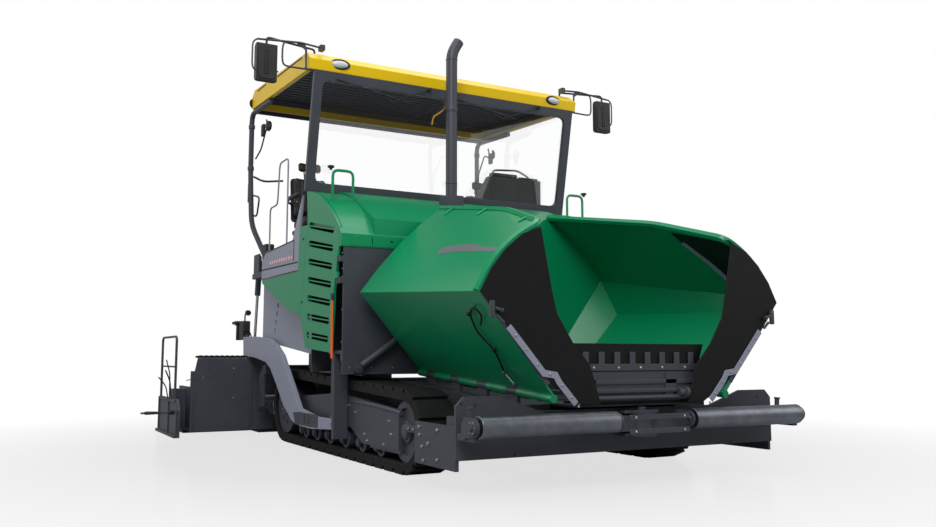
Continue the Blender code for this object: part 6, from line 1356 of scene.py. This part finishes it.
addSides({
    "wallRibs": (graphitePaint, "screed_extension_", [
        frontPlate(outline, thick, extension["wall"], *edge)
        for outline, thick, *edge in extension["plates"]]),
    "treadStrip": (hoseRubber, "screed_extension_", treadStrip()),
    "wallBolts": (zincSteel, "screed_extension_", wallBolts()),
    "armPads": (graphitePaint, "screed", [sidePlate(towArm["padOutline"], towArm["pad"], towArm["face"])]),
    # black films in the shape of the pad's slots: painted shade for the open slots
    "armSlotShade": (blackPlastic, "screed", [
        sidePlate(roundRect(0.040, 0.090, 0.019) + (y, towArm["slotZ"]), 1.5 * mm,
                  towArm["face"] + towArm["pad"], 0.3 * mm) for y in towArm["slotY"]]),
    "armControlBox": (blackPlastic, "screed", towArm["controlBox"]),
    "remoteBox": (blackPlastic, "screed", towArm["remote"]),
    "remoteKeys": (amberLens, "screed", [
        turned(towArm["key"], (x, y, towArm["keyZ"]), (0, 0, 1), 12)
        for x in towArm["keyX"] for y in towArm["keyY"]]),
    "gateBars": (graphitePaint, "end_gate_", [
        *[sidePlate(outline, endGate["bar"], endGate["face"]) for outline in endGate["bars"]],
        endGate["rail"]]),
    "gateLevers": (blackPlastic, "end_gate_", endGate["crank"] + endGate["levers"]),
})
print("screed trimmed")

# Plain covers: the hood's front panels, and dark plates inside the roof's rim as painted shade under the roof

cover = {"front": -0.9075, "panels": ((0.020, 0.735), (0.742, 1.205), (1.212, 1.405)), "z": (1.862, 1.952),
         "roof": 1.5125, "rimOutline": [(-0.05, 3.705), (1.86, 3.795), (1.85, 3.900), (-0.03, 3.780)],
         "rearWall": (0, 1.896, 3.786), "rearSlope": (0, -0.309, 0.951), "rearFloor": (0, 1.902, 3.7785)}


def makeCovers():
    (low, high), y, across = cover["z"], cover["front"], (1, 0, 0)
    panels = [frontPlate(rect((x0, low), (x1, high)), 3 * mm, y, 1 * mm) for x0, x1 in cover["panels"]]
    addPiece("hoodPanels", panels + flipped(panels, -1), greenEnamel, "root")
    # dark plates laid on the inside of the roof's side rims and rear wall: painted shade under the roof
    rim = [sidePlate(cover["rimOutline"], 1.6 * mm, cover["roof"] - 1.8 * mm, 0.4 * mm)]
    rear = plate(rect((-1.500, 0), (1.500, 0.122)), 2 * mm, cover["rearWall"], across, cover["rearSlope"],
                 0.5 * mm)
    back = plate(rect((-1.555, 0.002), (1.555, 0.046)), 1.5 * mm, cover["rearFloor"], across, (0, 1, 0),
                 0.4 * mm)
    addPiece("roofRimShade", [rear, back, *rim, *flipped(rim, -1)], graphitePaint, "root")


makeCovers()

# Floor and light

studio = {"floorSize": 60.0, "floorColour": "#A2A2A8", "fade": (2.8, 6.5), "aim": (0, 0, 1.2),
          "key": ((-6, -9, 9), 5.0, 640), "fill": ((9, -7, 6), 6.0, 150), "top": ((0, 0, 9), 8.0, 300),
          "back": ((-8, 6, 6), 6.0, 170), "world": 0.34}


def makeStudio():
    mesh = bpy.data.meshes.new("floor")
    half = studio["floorSize"] / 2
    mesh.from_pydata([(-half, -half, 0), (half, -half, 0), (half, half, 0), (-half, half, 0)], [],
                     [(0, 1, 2, 3)])
    floor = bpy.data.objects.new("floor", mesh)
    bpy.context.scene.collection.objects.link(floor)
    material, tree, place = newMaterial("paleFloor")
    shader = addNode(tree, "ShaderNodeBsdfPrincipled",
                     {"Base Color": toLinear(studio["floorColour"]), "Roughness": 0.15})
    white = addNode(tree, "ShaderNodeEmission", {"Strength": 1.0})
    # what the camera sees of the floor fades to white with the distance
    near, far = studio["fade"]
    away = addNode(tree, "ShaderNodeVectorMath", {"operation": "LENGTH"}, {0: place})
    fade = addNode(tree, "ShaderNodeMapRange",
                   {"From Min": near, "From Max": far, "To Min": 0.72, "To Max": 1.0},
                   {"Value": away.outputs[1]})
    rays = addNode(tree, "ShaderNodeLightPath")
    seen = addNode(tree, "ShaderNodeMath", {"operation": "MULTIPLY"},
                   {0: fade.outputs[0], 1: rays.outputs[0]})
    blend = addNode(tree, "ShaderNodeMixShader",
                    links={0: seen.outputs[0], 1: shader.outputs[0], 2: white.outputs[0]})
    endMaterial(tree, blend)
    mesh.materials.append(material)
    for name in ("key", "fill", "top", "back"):
        place, size, power = studio[name]
        light = bpy.data.lights.new(name, "AREA")
        light.size, light.energy = size, power
        lamp = bpy.data.objects.new(name, light)
        lamp.location = place
        lamp.rotation_euler = (Vector(studio["aim"]) - Vector(place)).to_track_quat("-Z", "Y").to_euler()
        bpy.context.scene.collection.objects.link(lamp)
    world = bpy.data.worlds.new("studio")
    world.use_nodes = True
    bpy.context.scene.world = world
    tree = world.node_tree
    tree.nodes.clear()
    rays = addNode(tree, "ShaderNodeLightPath")
    direct = addNode(tree, "ShaderNodeMath", {"operation": "MAXIMUM"},
                     {0: rays.outputs[0], 1: rays.outputs[6]})
    grey = addNode(tree, "ShaderNodeBackground", {"Color": (1, 1, 1, 1), "Strength": studio["world"]})
    bright = addNode(tree, "ShaderNodeBackground", {"Color": (1, 1, 1, 1), "Strength": 1.0})
    mixed = addNode(tree, "ShaderNodeMixShader",
                    links={0: direct.outputs[0], 1: grey.outputs[0], 2: bright.outputs[0]})
    addNode(tree, "ShaderNodeOutputWorld", links={"Surface": mixed.outputs[0]})


makeStudio()
print("studio ready")
